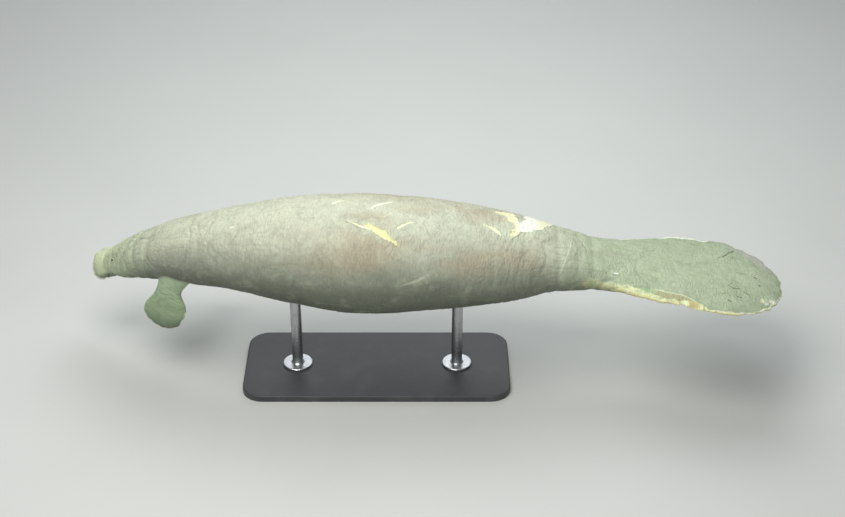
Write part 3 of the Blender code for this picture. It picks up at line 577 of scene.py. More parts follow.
# Fine bumps: sizes of small wrinkles, pebbles, pores and grain, and their heights
SMALL_WRINKLES = (0.013, 1.5)
PEBBLE_SIZE = 0.0085
PORE_SPACING = 0.0055
SKIN_GRAIN = (0.0024, 3.0)
SMALL_WRINKLE_HEIGHT = 0.0010
PEBBLE_HEIGHT = 0.0012
PORE_DEPTH = 0.00022
SKIN_GRAIN_HEIGHT = 0.00030
BUMP_WARP = 0.022
BUMP_WARP_SIZE = 0.045
BUMP_PATCHES = 0.12
# Distances from the eye's middle where its colours change
PUPIL_EDGE = (0.0026, 0.0022)
IRIS_EDGE = (0.0052, 0.0060)
EYE_WHITE_EDGE = (0.0060, 0.0070)
# Colours of the eyes, nails, hairs, stand and floor
IRIS = (srgb(58, 40, 24), srgb(92, 68, 42))
IRIS_RIM = srgb(26, 20, 15)
EYE_WHITE = (srgb(70, 58, 48), srgb(104, 88, 74))
PUPIL = srgb(6, 5, 5)
NAIL_ROOT = srgb(142, 136, 108)
NAIL_TIP = srgb(206, 196, 164)
NAIL_RIDGE = srgb(110, 102, 78)
NAIL_STAIN = srgb(128, 140, 100)
BRISTLE = (srgb(196, 188, 156), srgb(228, 222, 196))
BODY_HAIR = (srgb(150, 146, 122), srgb(196, 192, 168))
PAINT = (srgb(66, 68, 70), srgb(104, 105, 104))
STEEL = (srgb(196, 198, 200), srgb(158, 160, 162))
FLOOR = (srgb(204, 206, 202), srgb(211, 213, 209))


def smooth_curve(x, xs, ys):
    """A smooth curve through the points (xs, ys), read at x."""
    xs, ys = np.asarray(xs, float), np.asarray(ys, float)
    slopes = np.gradient(ys, xs)
    i = np.clip(np.searchsorted(xs, x) - 1, 0, len(xs) - 2)
    step = xs[i + 1] - xs[i]
    t = (np.clip(x, xs[0], xs[-1]) - xs[i]) / step
    start = (2 * t**3 - 3 * t**2 + 1) * ys[i] + (t**3 - 2 * t**2 + t) * step * slopes[i]
    end = (3 * t**2 - 2 * t**3) * ys[i + 1] + (t**3 - t**2) * step * slopes[i + 1]
    return start + end


def column(rows, number):
    return [row[number] for row in rows]


def curve_at(x, rows, number=1, first=0):
    """A smooth curve through one column of a table, read at x."""
    return smooth_curve(x, column(rows, first), column(rows, number))


def line_at(x, rows):
    """Straight lines through a table's places, read at x."""
    return np.interp(x, column(rows, 0), column(rows, 1))


def rows_at(x, xs, rows):
    """Rows of three numbers, one at each of xs, read at x."""
    return np.stack([np.interp(x, xs, rows[:, k]) for k in range(3)], axis=-1)


def signed_power(value, power):
    return np.sign(value) * np.abs(value) ** power


def unit(vectors):
    vectors = np.asarray(vectors, float)
    return vectors / np.maximum(np.linalg.norm(vectors, axis=-1, keepdims=True), 1e-12)


def ease(value, start, end):
    """A smooth step from 0 at start to 1 at end."""
    share = np.clip((value - start) / (end - start), 0.0, 1.0)
    return share * share * (3.0 - 2.0 * share)


def hump(value, centre, reach):
    return np.exp(-(((value - centre) / reach) ** 2))


def rough(points, size, stretch=(1.0, 1.0, 1.0), shift=0.0):
    """Smooth noise from about -1 to 1, with lumps about the given size."""
    scaled = points * np.asarray(stretch) / size + shift
    return 2.0 * np.array([noise.noise(place) for place in scaled.tolist()])


def layered(points, rows):
    """Rough height summed from noises, each with its height, size and shift."""
    return sum(height * rough(points, size, shift=shift) for height, size, shift in rows)


def rounded_end(distance, length, roundness):
    """Share of the full width at a distance from a rounded end of that length."""
    left = np.clip(1.0 - distance / length, 0.0, 1.0)
    return (1.0 - left**roundness) ** (1.0 / roundness)


def spine_table():
    """Points and axes (tailwards, right, up) along the spine."""
    s = np.linspace(0.0, BODY_LENGTH, SPINE_SAMPLES)
    rise, turn, roll = (np.radians(curve_at(s / BODY_LENGTH, SPINE, k)) for k in (1, 2, 3))
    tail = np.stack(
        [np.cos(rise) * np.cos(turn), -np.cos(rise) * np.sin(turn), np.sin(rise)], axis=1
    )
    level = unit(np.stack([-tail[:, 1], tail[:, 0], np.zeros(len(s))], axis=1))
    upright = np.cross(tail, level)
    right = level * np.cos(roll)[:, None] - upright * np.sin(roll)[:, None]
    up = np.cross(tail, right)
    steps = (tail[1:] + tail[:-1]) / 2 * (s[1] - s[0])
    points = np.vstack([np.zeros(3), np.cumsum(steps, axis=0)])
    middle = rows_at(STAND_CENTRE_ALONG, s, points)
    return s, points - middle + [0.0, 0.0, SPINE_HEIGHT], tail, right, up


SPINE_AT = spine_table()


def spine_frame(s):
    """Centre and axes of the spine at s; past the ends it runs on straight."""
    table_s, points, *axes = SPINE_AT
    inside = np.clip(s, 0.0, BODY_LENGTH)
    tail, right, up = (unit(rows_at(inside, table_s, rows)) for rows in axes)
    centre = rows_at(inside, table_s, points) + tail * np.asarray(s - inside)[..., None]
    return centre, tail, right, up


def bend(straight):
    """Carries points of the straight body (s, y, z) into the pose."""
    straight = np.asarray(straight, float)
    centre, _, right, up = spine_frame(straight[..., 0])
    return centre + right * straight[..., 1:2] + up * straight[..., 2:3]


def straighten(points, guess):
    """The straight body's (s, y, z) of points in the pose, from a first guess at s."""
    s = np.full(len(points), guess)
    for _ in range(STRAIGHTEN_ROUNDS):
        centre, tail, right, up = spine_frame(s)
        s += ((points - centre) * tail).sum(axis=-1)
    centre, tail, right, up = spine_frame(s)
    offset = points - centre
    return np.stack([s, (offset * right).sum(axis=-1), (offset * up).sum(axis=-1)], axis=-1)


def section_sizes(s):
    return [curve_at(s, SECTIONS, k, 1) for k in range(2, 7)]


def body_section(s, angle):
    """Points (s, y, z) of the plain body. Angle 0 is the right side, 90 degrees the back."""
    width, above, below, fullness, paddle = section_sizes(s)
    nose = rounded_end(s, NOSE_DEPTH, NOSE_BLUNTNESS)
    end = rounded_end(BODY_LENGTH - s, PADDLE_END_LENGTH, PADDLE_END_ROUNDNESS)
    width = width * nose * end
    cosine, sine = np.cos(angle), np.sin(angle)
    height = np.where(sine >= 0, above, below) * nose
    edge = np.minimum(PADDLE_EDGE, height) * np.sqrt(end)
    core = np.maximum(height - PADDLE_EDGE, 0.0) * end
    lens = core * np.abs(sine) ** PADDLE_CORE_POWER + edge * np.abs(sine) ** PADDLE_EDGE_POWER
    barrel = signed_power(sine, fullness) * height
    share = np.clip(paddle, 0.0, 1.0)
    y = signed_power(cosine, fullness) * width
    z = barrel * (1 - share) + np.sign(sine) * lens * share
    return np.stack(np.broadcast_arrays(s, y, z), axis=-1)


def relief(points):
    """How far the swellings and folds raise the straight body's skin."""
    s, y, z = points[..., 0], np.abs(points[..., 1]), points[..., 2]
    rise = np.zeros(s.shape)
    for _, place, reach, height in BULGES:
        offset = [(v - c) / r for v, c, r in zip((s, y, z), place, reach)]
        rise += height * np.exp(-sum(o * o for o in offset))
    back = np.clip(z / FOLD_FADE, -1.0, 1.0) / 2 + 0.5
    for _, along, half_width, depth, on_back in RING_FOLDS:
        share = 1.0 - (1.0 - on_back) * back
        rise -= depth * share * hump(s, along, half_width)
    return rise


def outward(s, angle, step=0.0015, turn=0.004):
    """Outward normals of the plain straight body, from its own slopes."""
    low, high = np.maximum(s - step, 0.0), np.minimum(s + step, BODY_LENGTH)
    along = body_section(high, angle) - body_section(low, angle)
    around = body_section(s, angle + turn) - body_section(s, angle - turn)
    return unit(np.cross(around, along))


def skin_point(s, angle):
    """Points (s, y, z) of the straight body with its swellings and folds."""
    s, angle = np.broadcast_arrays(np.asarray(s, float), np.asarray(angle, float))
    plain = body_section(s, angle)
    normal = outward(s, angle)
    upright = np.clip((s - LEANING_RELIEF_END) / LEANING_RELIEF_FADE, 0.0, 1.0)
    normal[..., 0] *= 1.0 - upright
    return plain + normal * relief(plain)[..., None]


def skin_frame(s, angle, step=0.003, turn=0.012):
    """Place on the straight skin, and its outward, tailward and round-the-body axes there."""
    here = skin_point(s, angle)
    along = unit(skin_point(s + step, angle) - skin_point(s - step, angle))
    around = skin_point(s, angle + turn) - skin_point(s, angle - turn)
    out = unit(np.cross(around, along))
    return here, out, along, np.cross(out, along)


def side_angle(degrees, side):
    """Angle round the body of a place so many degrees above its left (-1) or right (1) side."""
    return math.radians(degrees if side > 0 else 180.0 - degrees)


def turn_between(angle, start):
    """The shorter way round from one angle to another."""
    return np.angle(np.exp(1j * (angle - start)))


def segment_distance(points, start, end):
    """Distance of each point to a straight segment, and how far along it the nearest place is."""
    line = end - start
    share = np.clip((points - start) @ line / (line @ line), 0.0, 1.0)
    return np.linalg.norm(points - start - share[:, None] * line, axis=1), share


def unrolled(s, angle):
    """Place on the back's skin laid flat, in metres, for angles near the back's ridge."""
    spread = BACK_SPREAD * section_sizes(s)[0]
    return np.stack([s, (angle - math.pi / 2) * spread], axis=-1)


def stroke_distance(points, path):
    """Distance outside a stroke's edge, which is negative inside."""
    rows = np.array(path)
    places = unrolled(rows[:, 0], np.radians(rows[:, 1]))
    found = np.full(len(points), np.inf)
    for k in range(len(rows) - 1):
        distance, share = segment_distance(points, places[k], places[k + 1])
        half = rows[k, 2] + (rows[k + 1, 2] - rows[k, 2]) * share
        found = np.minimum(found, distance - half)
    return found


def outline_distance(points, outline):
    """Distance outside a closed outline, which is negative inside."""
    rows = np.array(outline)
    places = unrolled(rows[:, 0], np.radians(rows[:, 1]))
    found = np.full(len(points), np.inf)
    inside = np.zeros(len(points), bool)
    for start, end in zip(places, np.roll(places, -1, axis=0)):
        found = np.minimum(found, segment_distance(points, start, end)[0])
        crosses = (start[1] > points[:, 1]) != (end[1] > points[:, 1])
        rise = end[1] - start[1] or 1e-9
        inside ^= crosses & (
            points[:, 0] < start[0] + (end[0] - start[0]) * (points[:, 1] - start[1]) / rise
        )
    return np.where(inside, -found, found)


def rim_distance(s, angle):
    """Distance inwards from the nearer rim of the paddle, which is large ahead of the paddle."""
    step = 0.001
    ahead, behind = s - step, np.minimum(s + step, BODY_LENGTH - 1e-6)
    rims = [body_section(place, np.zeros_like(s))[:, 1] for place in (ahead, s, behind)]
    slope = (rims[2] - rims[0]) / (behind - ahead)
    inwards = (rims[1] - np.abs(body_section(s, angle)[:, 1])) / np.hypot(1.0, slope)
    return inwards + np.maximum(RIM_BAND[0][0] - s, 0.0)


def scratch_distance(places):
    """Distance outside the nearest dark scratch on the upper face of the paddle."""
    found = np.full(len(places), 1.0)
    for width, *path in SCRATCHES:
        path = np.array(path)
        for start, end in zip(path[:-1], path[1:]):
            found = np.minimum(found, segment_distance(places[:, :2], start, end)[0] - width)
    return np.where(places[:, 2] > 0, found, 1.0)


def keep_nearer(fields, others, allowed=True):
    """Takes a mark's distance, whiteness and strength where it is the nearer one."""
    nearer = (others[0] < fields[0]) & allowed
    return [np.where(nearer, new, old) for new, old in zip(others, fields)]


def scar_fields(s, angle, places):
    """Distance outside the nearest scar, how white it is and how strongly it shows."""
    points = unrolled(s, angle)
    ragged = layered(places, SCAR_RAGGED)
    white = WIDE_SCAR_WHITE + sum(more * ease(s, *zone) for more, *zone in WIDE_SCAR_STEPS)
    fields = [outline_distance(points, WIDE_SCAR) + ragged, white, np.ones(len(s))]
    for _, whiteness, shows, raggedness, path in STROKES:
        stroke = stroke_distance(points, path) + raggedness * ragged
        fields = keep_nearer(fields, (stroke, whiteness, shows))
    for along, across, radius, whiteness, shows in PADDLE_PATCHES:
        patch = np.hypot(places[:, 0] - along, places[:, 1] - across) - radius + ragged
        fields = keep_nearer(fields, (patch, whiteness, shows), places[:, 2] > 0)
    return fields


def near_scar(s, angle):
    """Distance outside the smooth outline of the nearest scar."""
    points = unrolled(s, angle)
    paths = [stroke_distance(points, row[-1]) for row in STROKES]
    return np.minimum.reduce([outline_distance(points, WIDE_SCAR), *paths])


def ring_places():
    """Places of the skin's rings, close together where the skin is fine."""
    turn = np.linspace(0.0, math.pi, RING_SAMPLES)
    s = BODY_LENGTH / 2 * (1.0 - np.cos(turn))
    profile = body_section(s, np.zeros_like(s))[:, :2]
    lengths = np.linalg.norm(np.diff(profile, axis=0), axis=1)
    steps = line_at((s[1:] + s[:-1]) / 2, RING_STEPS)
    count = np.concatenate([[0.0], np.cumsum(lengths / steps)])
    return np.interp(np.linspace(0.0, count[-1], round(count[-1]) + 1), count, s)


def grid_mesh(name, rows, columns, places):
    """A mesh of four-sided faces over a grid of places."""
    corner = np.arange(rows * columns).reshape(rows, columns)
    faces = np.stack(
        [corner[:-1, :-1], corner[:-1, 1:], corner[1:, 1:], corner[1:, :-1]], axis=-1
    ).reshape(-1, 4)
    mesh = bpy.data.meshes.new(name)
    mesh.vertices.add(len(places))
    mesh.vertices.foreach_set("co", np.asarray(places, np.float32).ravel())
    mesh.loops.add(faces.size)
    mesh.loops.foreach_set("vertex_index", faces.astype(np.int32).ravel())
    mesh.polygons.add(len(faces))
    mesh.polygons.foreach_set("loop_start", np.arange(0, faces.size, 4, dtype=np.int32))
    mesh.update(calc_edges=True)
    return mesh


@contextlib.contextmanager
def editing(mesh):
    """Opens a mesh for bmesh operations, and stores it afterwards."""
    shape = bmesh.new()
    shape.from_mesh(mesh)
    yield shape
    shape.to_mesh(mesh)
    shape.free()


def read_all(items, name, width=1, kind=np.float32):
    """One property of all of a mesh's points, edges, corners or faces."""
    found = np.empty(len(items) * width, kind)
    items.foreach_get(name, found)
    if kind is np.float32:
        found = found.astype(float)
    return found.reshape(-1, width) if width > 1 else found


def read_points(mesh):
    return read_all(mesh.vertices, "co", 3)


def read_normals(mesh):
    return read_all(mesh.vertex_normals, "vector", 3)


def write_points(mesh, points):
    mesh.vertices.foreach_set("co", np.asarray(points, np.float32).ravel())
    mesh.update()


def read_fields(mesh, *names):
    return [read_all(mesh.attributes[name].data, "value") for name in names]


def write_fields(mesh, **fields):
    """Stores fields on a mesh's points, each as a row of values or one value for all."""
    for name, values in fields.items():
        field = mesh.attributes.get(name) or mesh.attributes.new(name, "FLOAT", "POINT")
        row = np.ones(len(mesh.vertices)) * values
        field.data.foreach_set("value", row.astype(np.float32))


def add_object(name, mesh):
    obj = bpy.data.objects.new(name, mesh)
    bpy.context.scene.collection.objects.link(obj)
    return obj


def attach(piece, slot, *nodes):
    """Puts a piece on the model's one body and hides the nodes that it stands for; its slot is not
    used.
    """
    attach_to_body(piece, "root")
    if nodes:
        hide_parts(*nodes)


def near_head_feature(s, angle):
    """Level of detail wanted round the eyes, nostrils and mouth: 0, 1 or 2."""
    level = np.zeros(len(s), int)
    for side in (-1, 1):
        for along, degrees, far, close in HEAD_DETAIL:
            turn = turn_between(angle, side_angle(degrees, side))
            distance = np.hypot(s - along, turn * HEAD_GIRTH)
            level = np.maximum(level, (distance < far).astype(int))
            level = np.maximum(level, 2 * (distance < close))
    below = np.degrees(np.arccos(np.clip(-np.sin(angle), -1.0, 1.0)))
    mouth_along = line_at(below, [(90.0 + row[1], row[0]) for row in MOUTH_LINE[:-1]])
    lower = -np.sin(angle) > MOUTH_LEVEL
    return np.maximum(level, (lower & (np.abs(s - mouth_along) < MOUTH_DETAIL)).astype(int))


def detail_level(s, angle):
    """How many times the faces round a place of the skin are halved."""
    level = np.zeros(len(s), int)
    head = s < HEAD_DETAIL_END
    level[head] = near_head_feature(s[head], angle[head])
    first, last = SCARRED_ALONG
    low, high = SCARRED_ROUND
    scarred = (s > first) & (s < last) & (angle > low) & (angle < high)
    distance = near_scar(s[scarred], angle[scarred])
    near, nearer = SCAR_DETAIL
    level[scarred] = (distance < near).astype(int) + (np.abs(distance) < nearer)
    radii, reach = NICK_DETAIL
    for along, side, radius in RIM_NICKS:
        turn = turn_between(angle, side_angle(0.0, side))
        nicked = (np.abs(s - along) < radius * radii) & (np.abs(turn) < reach)
        level[nicked] = np.maximum(level[nicked], 1)
    return level


def flat_skin():
    """The body's skin laid out flat, as (s, angle, 0), with finer faces where it has detail."""
    rings = ring_places()
    turns = np.linspace(-math.pi / 2, 3 * math.pi / 2, SKIN_AROUND + 1)
    s, angle = np.meshgrid(rings, turns, indexing="ij")
    flat = np.stack([s, angle, np.zeros_like(s)], axis=-1).reshape(-1, 3)
    mesh = grid_mesh("skin", len(rings), len(turns), flat)
    with editing(mesh) as shape:
        for wanted in (1, 2):
            places = np.array([vert.co[:2] for vert in shape.verts])
            fine = detail_level(places[:, 0], places[:, 1]) >= wanted
            shape.verts.index_update()
            edges = [
                edge for edge in shape.edges if all(fine[vert.index] for vert in edge.verts)
            ]
            bmesh.ops.subdivide_edges(shape, edges=edges, cuts=1, use_grid_fill=True)
        crowded = [face for face in shape.faces if len(face.verts) > 4]
        bmesh.ops.triangulate(shape, faces=crowded)
    return mesh


def close_up(mesh):
    """Joins a mesh's seams, fills what stays open and turns its faces outwards."""
    with editing(mesh) as shape:
        bmesh.ops.remove_doubles(shape, verts=shape.verts, dist=WELD_REACH)
        open_rim = [edge for edge in shape.edges if edge.is_boundary]
        bmesh.ops.holes_fill(shape, edges=open_rim, sides=0)
        bmesh.ops.recalc_face_normals(shape, faces=shape.faces)


def creases(field, width):
    """From 0 to 1, the thin lines where a noise field passes through zero."""
    return np.exp(-((field / width) ** 2))


def body_wrinkles(s, places):
    """Height of the wrinkles on the straight body, and how deep in a crease each point lies, which
    the colour darkens as painted shade.
    """
    folds, fine = (curve_at(s, WRINKLES, k) for k in (1, 2))
    warp = WRINKLE_WARP * rough(places, WRINKLE_WARP_SIZE)
    bent = places + warp[:, None] * [1.0, 0.3, 0.3]
    sized = bent / line_at(s, WRINKLE_SIZES)[:, None]
    fields = [rough(sized, size, stretch, shift) for size, stretch, shift, _ in WRINKLE_NOISE]
    ring, cross, small = (creases(field, row[-1]) for field, row in zip(fields, WRINKLE_NOISE))
    height = folds * (FOLD_CROWN * np.abs(fields[0]) - ring - CROSS_SHARE * cross)
    height += fine * (FINE_CROWN - small)
    height += layered(places, BODY_LUMPS) * ease(s, *BODY_LUMPS_START)
    depth = 0.8 * ring * folds / DEEPEST_FOLD + 0.5 * small + 0.5 * cross
    return height, np.clip(depth, 0.0, 1.0)


def mouth_path(side):
    """The mouth's line on one side of the straight head, from the chin to the corner."""
    share = np.linspace(0.0, 1.0, len(MOUTH_LINE))
    fine = np.linspace(0.0, 1.0, MOUTH_POINTS)
    along, degrees = (smooth_curve(fine, share, column(MOUTH_LINE, k)) for k in (0, 1))
    return skin_point(along, np.radians(degrees if side > 0 else 180.0 - degrees))


def point_tree(points):
    tree = KDTree(len(points))
    for number, place in enumerate(points):
        tree.insert(place, number)
    tree.balance()
    return tree


def mouth_distance(places):
    """Distance from the mouth's line, and how far back along it, from 0 at the chin to 1."""
    tree = point_tree(np.concatenate([mouth_path(side) for side in (-1, 1)]))
    number, distance = zip(*(tree.find(place)[1:] for place in places.tolist()))
    return np.array(distance), np.array(number) % MOUTH_POINTS / (MOUTH_POINTS - 1)


def mouth_relief(places):
    """Height round the mouth, a deep line between two rolled lips, the line, which the colour
    darkens as painted shade, and calm skin.
    """
    distance, share = mouth_distance(places)
    fade = 1.0 - 0.75 * ease(share, *MOUTH_FADE)
    line = hump(distance, 0.0, MOUTH_WIDTH)
    rise, away, width = LIPS
    calm = 1.0 - 0.8 * hump(distance, 0.0, MOUTH_CALM)
    height = rise * hump(distance, away, width) - MOUTH_DEPTH * line
    return fade * height, line * fade, calm


def nostril_relief(places, side):
    """Height round one closed nostril, a curved slit with a soft flap inside it, and the slit,
    which the colour darkens as painted shade.
    """
    here, _, along, around = skin_frame(NOSTRIL_ALONG, side_angle(NOSTRIL_ANGLE, side))
    offset = places - here
    across, ahead = offset @ around, -(offset @ along)
    radius = np.hypot(across, ahead)
    turn = np.arctan2(ahead, across)
    past = np.maximum(np.abs(turn - math.pi / 2) - math.radians(NOSTRIL_HALF_TURN), 0.0)
    distance = np.hypot(radius - NOSTRIL_RADIUS, past * NOSTRIL_RADIUS)
    slit = np.where(radius < NOSTRIL_REACH, hump(distance, 0.0, NOSTRIL_WIDTH), 0.0)
    rise, reach = NOSTRIL_FLAP
    flap = rise * hump(radius, 0.0, reach)
    rise, away, width = NOSTRIL_RIM
    rim = rise * hump(radius, NOSTRIL_RADIUS + away, width) * ease(ahead, *NOSTRIL_RIM_ENDS)
    return np.where(radius < NOSTRIL_REACH, flap + rim, 0.0) - NOSTRIL_DEPTH * slit, slit


def smooth_most(a, b, blend):
    """The larger of two heights, rounded over where they meet."""
    share = np.clip(0.5 + (a - b) / (2 * blend), 0.0, 1.0)
    return b + (a - b) * share + blend * share * (1.0 - share)


def shape_eye(places, side):
    """Moves the skin round an eye into lids with a slit over the eyeball. Gives the lids' mask,
    with painted shade in the first ring wrinkle.
    """
    here, out, along, around = skin_frame(EYE_ALONG, side_angle(EYE_ANGLE, side))
    axes = np.stack([along, around * -side, out])
    near = np.flatnonzero(np.linalg.norm(places - here, axis=1) < EYE_REACH)
    u, v, w = axes @ (places[near] - here).T
    radius = np.hypot(u, v)
    turn = np.arctan2(v, u)
    fade = 1.0 - ease(radius, *EYE_FADE)
    local = np.stack([u, v, np.full(len(u), 0.1 * side)], axis=-1)
    long, high = EYE_OVAL
    oval = np.hypot(u / long, v / high) * (1.0 + layered(local, EYE_OVAL_NOISE))
    wobble = layered(local, SPOKE_WOBBLE)
    spokes = np.cos(EYE_SPOKES * turn + wobble) * ease(oval, *SPOKES_START) * fade
    spokes *= ease(layered(local, SPOKE_PATCHES), *SPOKE_PATCH_EDGE)
    w = w + fade * SPOKE_RISE * spokes
    below = 1.0 - ease(v, *ABOVE_EYE)
    for away, width, depth, above_only in EYE_RINGS:
        w = w - fade * depth * hump(oval, away, width) * (1.0 - above_only * below)
    lid_radius = EYE_RADIUS + LID_THICKNESS
    ball, lid = (
        np.sqrt(np.maximum(size**2 - radius**2, 0.0)) - EYE_SINK
        for size in (EYE_RADIUS, lid_radius)
    )
    lid += LID_SPOKE_RISE * spokes * ease(oval, *LID_SPOKES_START)
    w = smooth_most(lid, w, LID_BLEND)
    power = EYE_SLIT_POWER
    across, high = np.abs(u / EYE_SLIT[0]), np.abs((v - EYE_SLIT_RISE) / EYE_SLIT[1])
    opening = (across**power + high**power) ** (1 / power)
    closed = ease(opening, *EYE_SLIT_RIM)
    w = closed * w + (1.0 - closed) * (ball - BALL_CLEARANCE)
    places[near] = here + np.stack([u, v, w], axis=-1) @ axes
    mask = np.zeros(len(places))
    share, reach = FIRST_RING_SHADE
    ring_shade = share * hump(oval, EYE_RINGS[0][0], reach)
    mask[near] = np.clip(hump(opening, *LID_MASK) + ring_shade, 0.0, 1.0)
    return mask


def pad_pits(places):
    """Shallow pits at the bristles' roots on the lip pads."""
    cells = [noise.noise(place, noise_basis="VORONOI_F1") for place in (places / PIT_SIZE).tolist()]
    return hump(np.array(cells), -1.0, PIT_REACH)


def muzzle_pad(places):
    """From 0 to 1, how much of a bristly lip pad a place of the straight head is."""
    place = (places[:, 0], np.abs(places[:, 1]), places[:, 2])
    found = np.zeros(len(places))
    for centre, reach, strength in MUZZLE_PADS:
        humps = [hump(*row) for row in zip(place, centre, reach)]
        found += strength * np.prod(humps, axis=0)
    return np.clip(found, 0.0, 1.0)


def shape_rim(places, s, angle):
    """Ruffles and nicks of the paddle's rim, which moves in its own plane and up and down."""
    paddle = ease(s, *PADDLE_STARTS)
    side_on = np.abs(np.cos(angle))
    rim = np.maximum(side_on**RIM_POWER, ease(s, BODY_LENGTH - PADDLE_TIP, BODY_LENGTH))
    flat = places * [1.0, 1.0, 0.0]
    direction = unit((places - PADDLE_MIDDLE) * [1.0, 1.0, 0.0])
    outline = layered(flat, RIM_RUFFLES)
    outline += layered(flat, END_RUFFLES) * ease(s, *END_RUFFLES_START)
    moved = places + direction * (outline * rim * paddle)[:, None]
    for along, side, radius in RIM_NICKS:
        depth = np.sqrt(np.maximum(radius**2 - (s - along) ** 2, 0.0))
        moved[:, 1] -= side * depth * ease(side * np.cos(angle), *NICK_ROUND)
    moved[:, 2] += layered(flat, RIM_WAVES) * paddle * side_on**WAVE_POWER
    return moved


def calm_at_rods(s, places):
    """From 0 to 1, how much relief the underside keeps, which is none where a rod meets it."""
    kept = np.ones(len(s))
    for rod in ("stand_rod_front", "stand_rod_rear"):
        middle = np.mean(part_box(rod), axis=0)
        centre = straighten(middle[None], STAND_CENTRE_ALONG)[0]
        away = np.hypot(s - centre[0], places[:, 1] - centre[1])
        kept *= np.where(places[:, 2] < 0, ease(away, *ROD_CALM), 1.0)
    return kept


def shape_body(mesh):
    """Gives the straight skin its fine relief, and stores the fields that its colours use."""
    s, angle = read_fields(mesh, "along", "round")
    places, normals = read_points(mesh), read_normals(mesh)
    height, crease = body_wrinkles(s, places)
    head = np.flatnonzero(s < FINE_HEAD_END)
    lips, line, calm = mouth_relief(places[head])
    height[head] *= calm
    height[head] += lips
    # Painted shade of the mouth's line and the nostrils' slits
    dark = np.zeros(len(s))
    dark[head] = line
    for side in (-1, 1):
        rise, line = nostril_relief(places[head], side)
        height[head] += rise
        dark[head] = np.maximum(dark[head], line)
    pad = muzzle_pad(places)
    pads = np.flatnonzero(pad > PAD_EDGE)
    pits = pad[pads] * pad_pits(places[pads])
    height[pads] -= PIT_DEPTH * pits
    # The pits join the creases, which the colour darkens as painted shade
    crease[pads] = np.maximum(crease[pads], PIT_SHADE * pits)
    scar, white, strength = scar_fields(s, angle, places)
    height *= 1.0 - SCAR_SMOOTH * ease(-scar, -SCAR_SMOOTH_REACH, 0.0) * strength
    rise, away, width = SCAR_RIDGE
    depth, reach = SCAR_DIP
    height += strength * (rise * hump(scar, away, width) - depth * ease(-scar, 0.0, reach))
    height *= calm_at_rods(s, places)
    half_height = np.where(places[:, 2] > 0, *section_sizes(s)[1:3])
    rim = rim_distance(s, angle)
    right_side = np.where(np.cos(angle) > 0, 1.0, 0.0)
    write_fields(
        mesh,
        level=places[:, 2] / np.maximum(half_height, 0.01),
        band=rim - curve_at(s, RIM_BAND) + right_side,
        rim=rim,
        scratch=scratch_distance(places),
        stain=rim - line_at(s, STAINED_ZONE) + right_side,
        crease=crease,
        dark=dark,
        pad=pad,
        scar=scar,
        scar_white=white,
        scar_shows=strength,
    )
    places = places + normals * height[:, None]
    lids = sum(shape_eye(places, side) for side in (-1, 1))
    places = shape_rim(places, s, angle)
    write_points(mesh, bend(places))
    write_fields(mesh, lids=lids, **dict(zip(STRAIGHT_FIELDS, places.T)))


def make_body():
    """The whole body's skin in the pose, without flippers."""
    mesh = flat_skin()
    s, angle, _ = read_points(mesh).T
    s[s > BODY_LENGTH - POLE_REACH] = BODY_LENGTH
    write_fields(mesh, along=s, round=angle, made=1.0)
    write_points(mesh, skin_point(s, angle))
    close_up(mesh)
    shape_body(mesh)
    return add_object("skin", mesh)


def flipper_table(side):
    """Points and axes (forward, outward) along a flipper, in the pose."""
    share = np.linspace(0.0, 1.0, FLIPPER_SAMPLES)
    splay, swing, twist = (
        np.radians(curve_at(share, FLIPPER_POSES[side], k))[:, None] for k in (1, 2, 3)
    )
    s, y, z = FLIPPER_ROOT
    _, tail, right, up = spine_frame(s)
    down = -up * np.cos(splay) + right * side * np.sin(splay)
    tip = down * np.cos(swing) - tail * np.sin(swing)
    ahead = unit(-tail - tip * (tip @ -tail)[:, None])
    face = np.cross(ahead, tip) * -side
    forward = ahead * np.cos(twist) + face * np.sin(twist)
    outer = face * np.cos(twist) - ahead * np.sin(twist)
    steps = (tip[1:] + tip[:-1]) / 2 * FLIPPER_LENGTH / (FLIPPER_SAMPLES - 1)
    points = bend([s, y * side, z]) + np.vstack([np.zeros(3), np.cumsum(steps, axis=0)])
    return share, points, forward, outer


FLIPPER_AT = {side: flipper_table(side) for side in (-1, 1)}


def flipper_frame(t, side):
    """Centre of a flipper at a share of its length, and its forward and outward axes there."""
    share, *tables = FLIPPER_AT[side]
    centre, forward, outer = (rows_at(t, share, rows) for rows in tables)
    return centre, unit(forward), unit(outer)


def flipper_point(t, angle, side):
    """Points of a flipper's skin. Angle 0 is its leading edge and 90 degrees its outer face."""
    t, angle = np.broadcast_arrays(np.asarray(t, float), np.asarray(angle, float))
    centre, forward, face = flipper_frame(t, side)
    lead, trail, depth = (curve_at(t, FLIPPER_SECTIONS, k) for k in (1, 2, 3))
    end = rounded_end((1.0 - t) * FLIPPER_LENGTH, FLIPPER_TIP_LENGTH, FLIPPER_TIP_ROUNDNESS)
    cosine, sine = np.cos(angle), np.sin(angle)
    chord = np.where(cosine >= 0, lead, trail) * cosine * end
    flat = np.clip((t - 0.1) / 0.4, 0.0, 1.0)
    core = (depth - FLIPPER_EDGE) * np.abs(sine) ** (1.0 + 0.35 * flat) * end
    rim = FLIPPER_EDGE * np.abs(sine) ** 0.6 * np.sqrt(end)
    lift = np.sign(sine) * (core + rim)
    return centre + forward * chord[..., None] + face * lift[..., None]


def flipper_rings():
    """Shares of the flipper's length at its rings, closer towards the round tip."""
    turn = np.linspace(0.0, math.pi / 2, FLIPPER_RINGS // 3 + 1)
    start = 1.0 - FLIPPER_TIP_LENGTH / FLIPPER_LENGTH
    straight = np.linspace(0.0, start, FLIPPER_RINGS - len(turn) + 1)[:-1]
    return np.concatenate([straight, start + (1.0 - start) * np.sin(turn)])


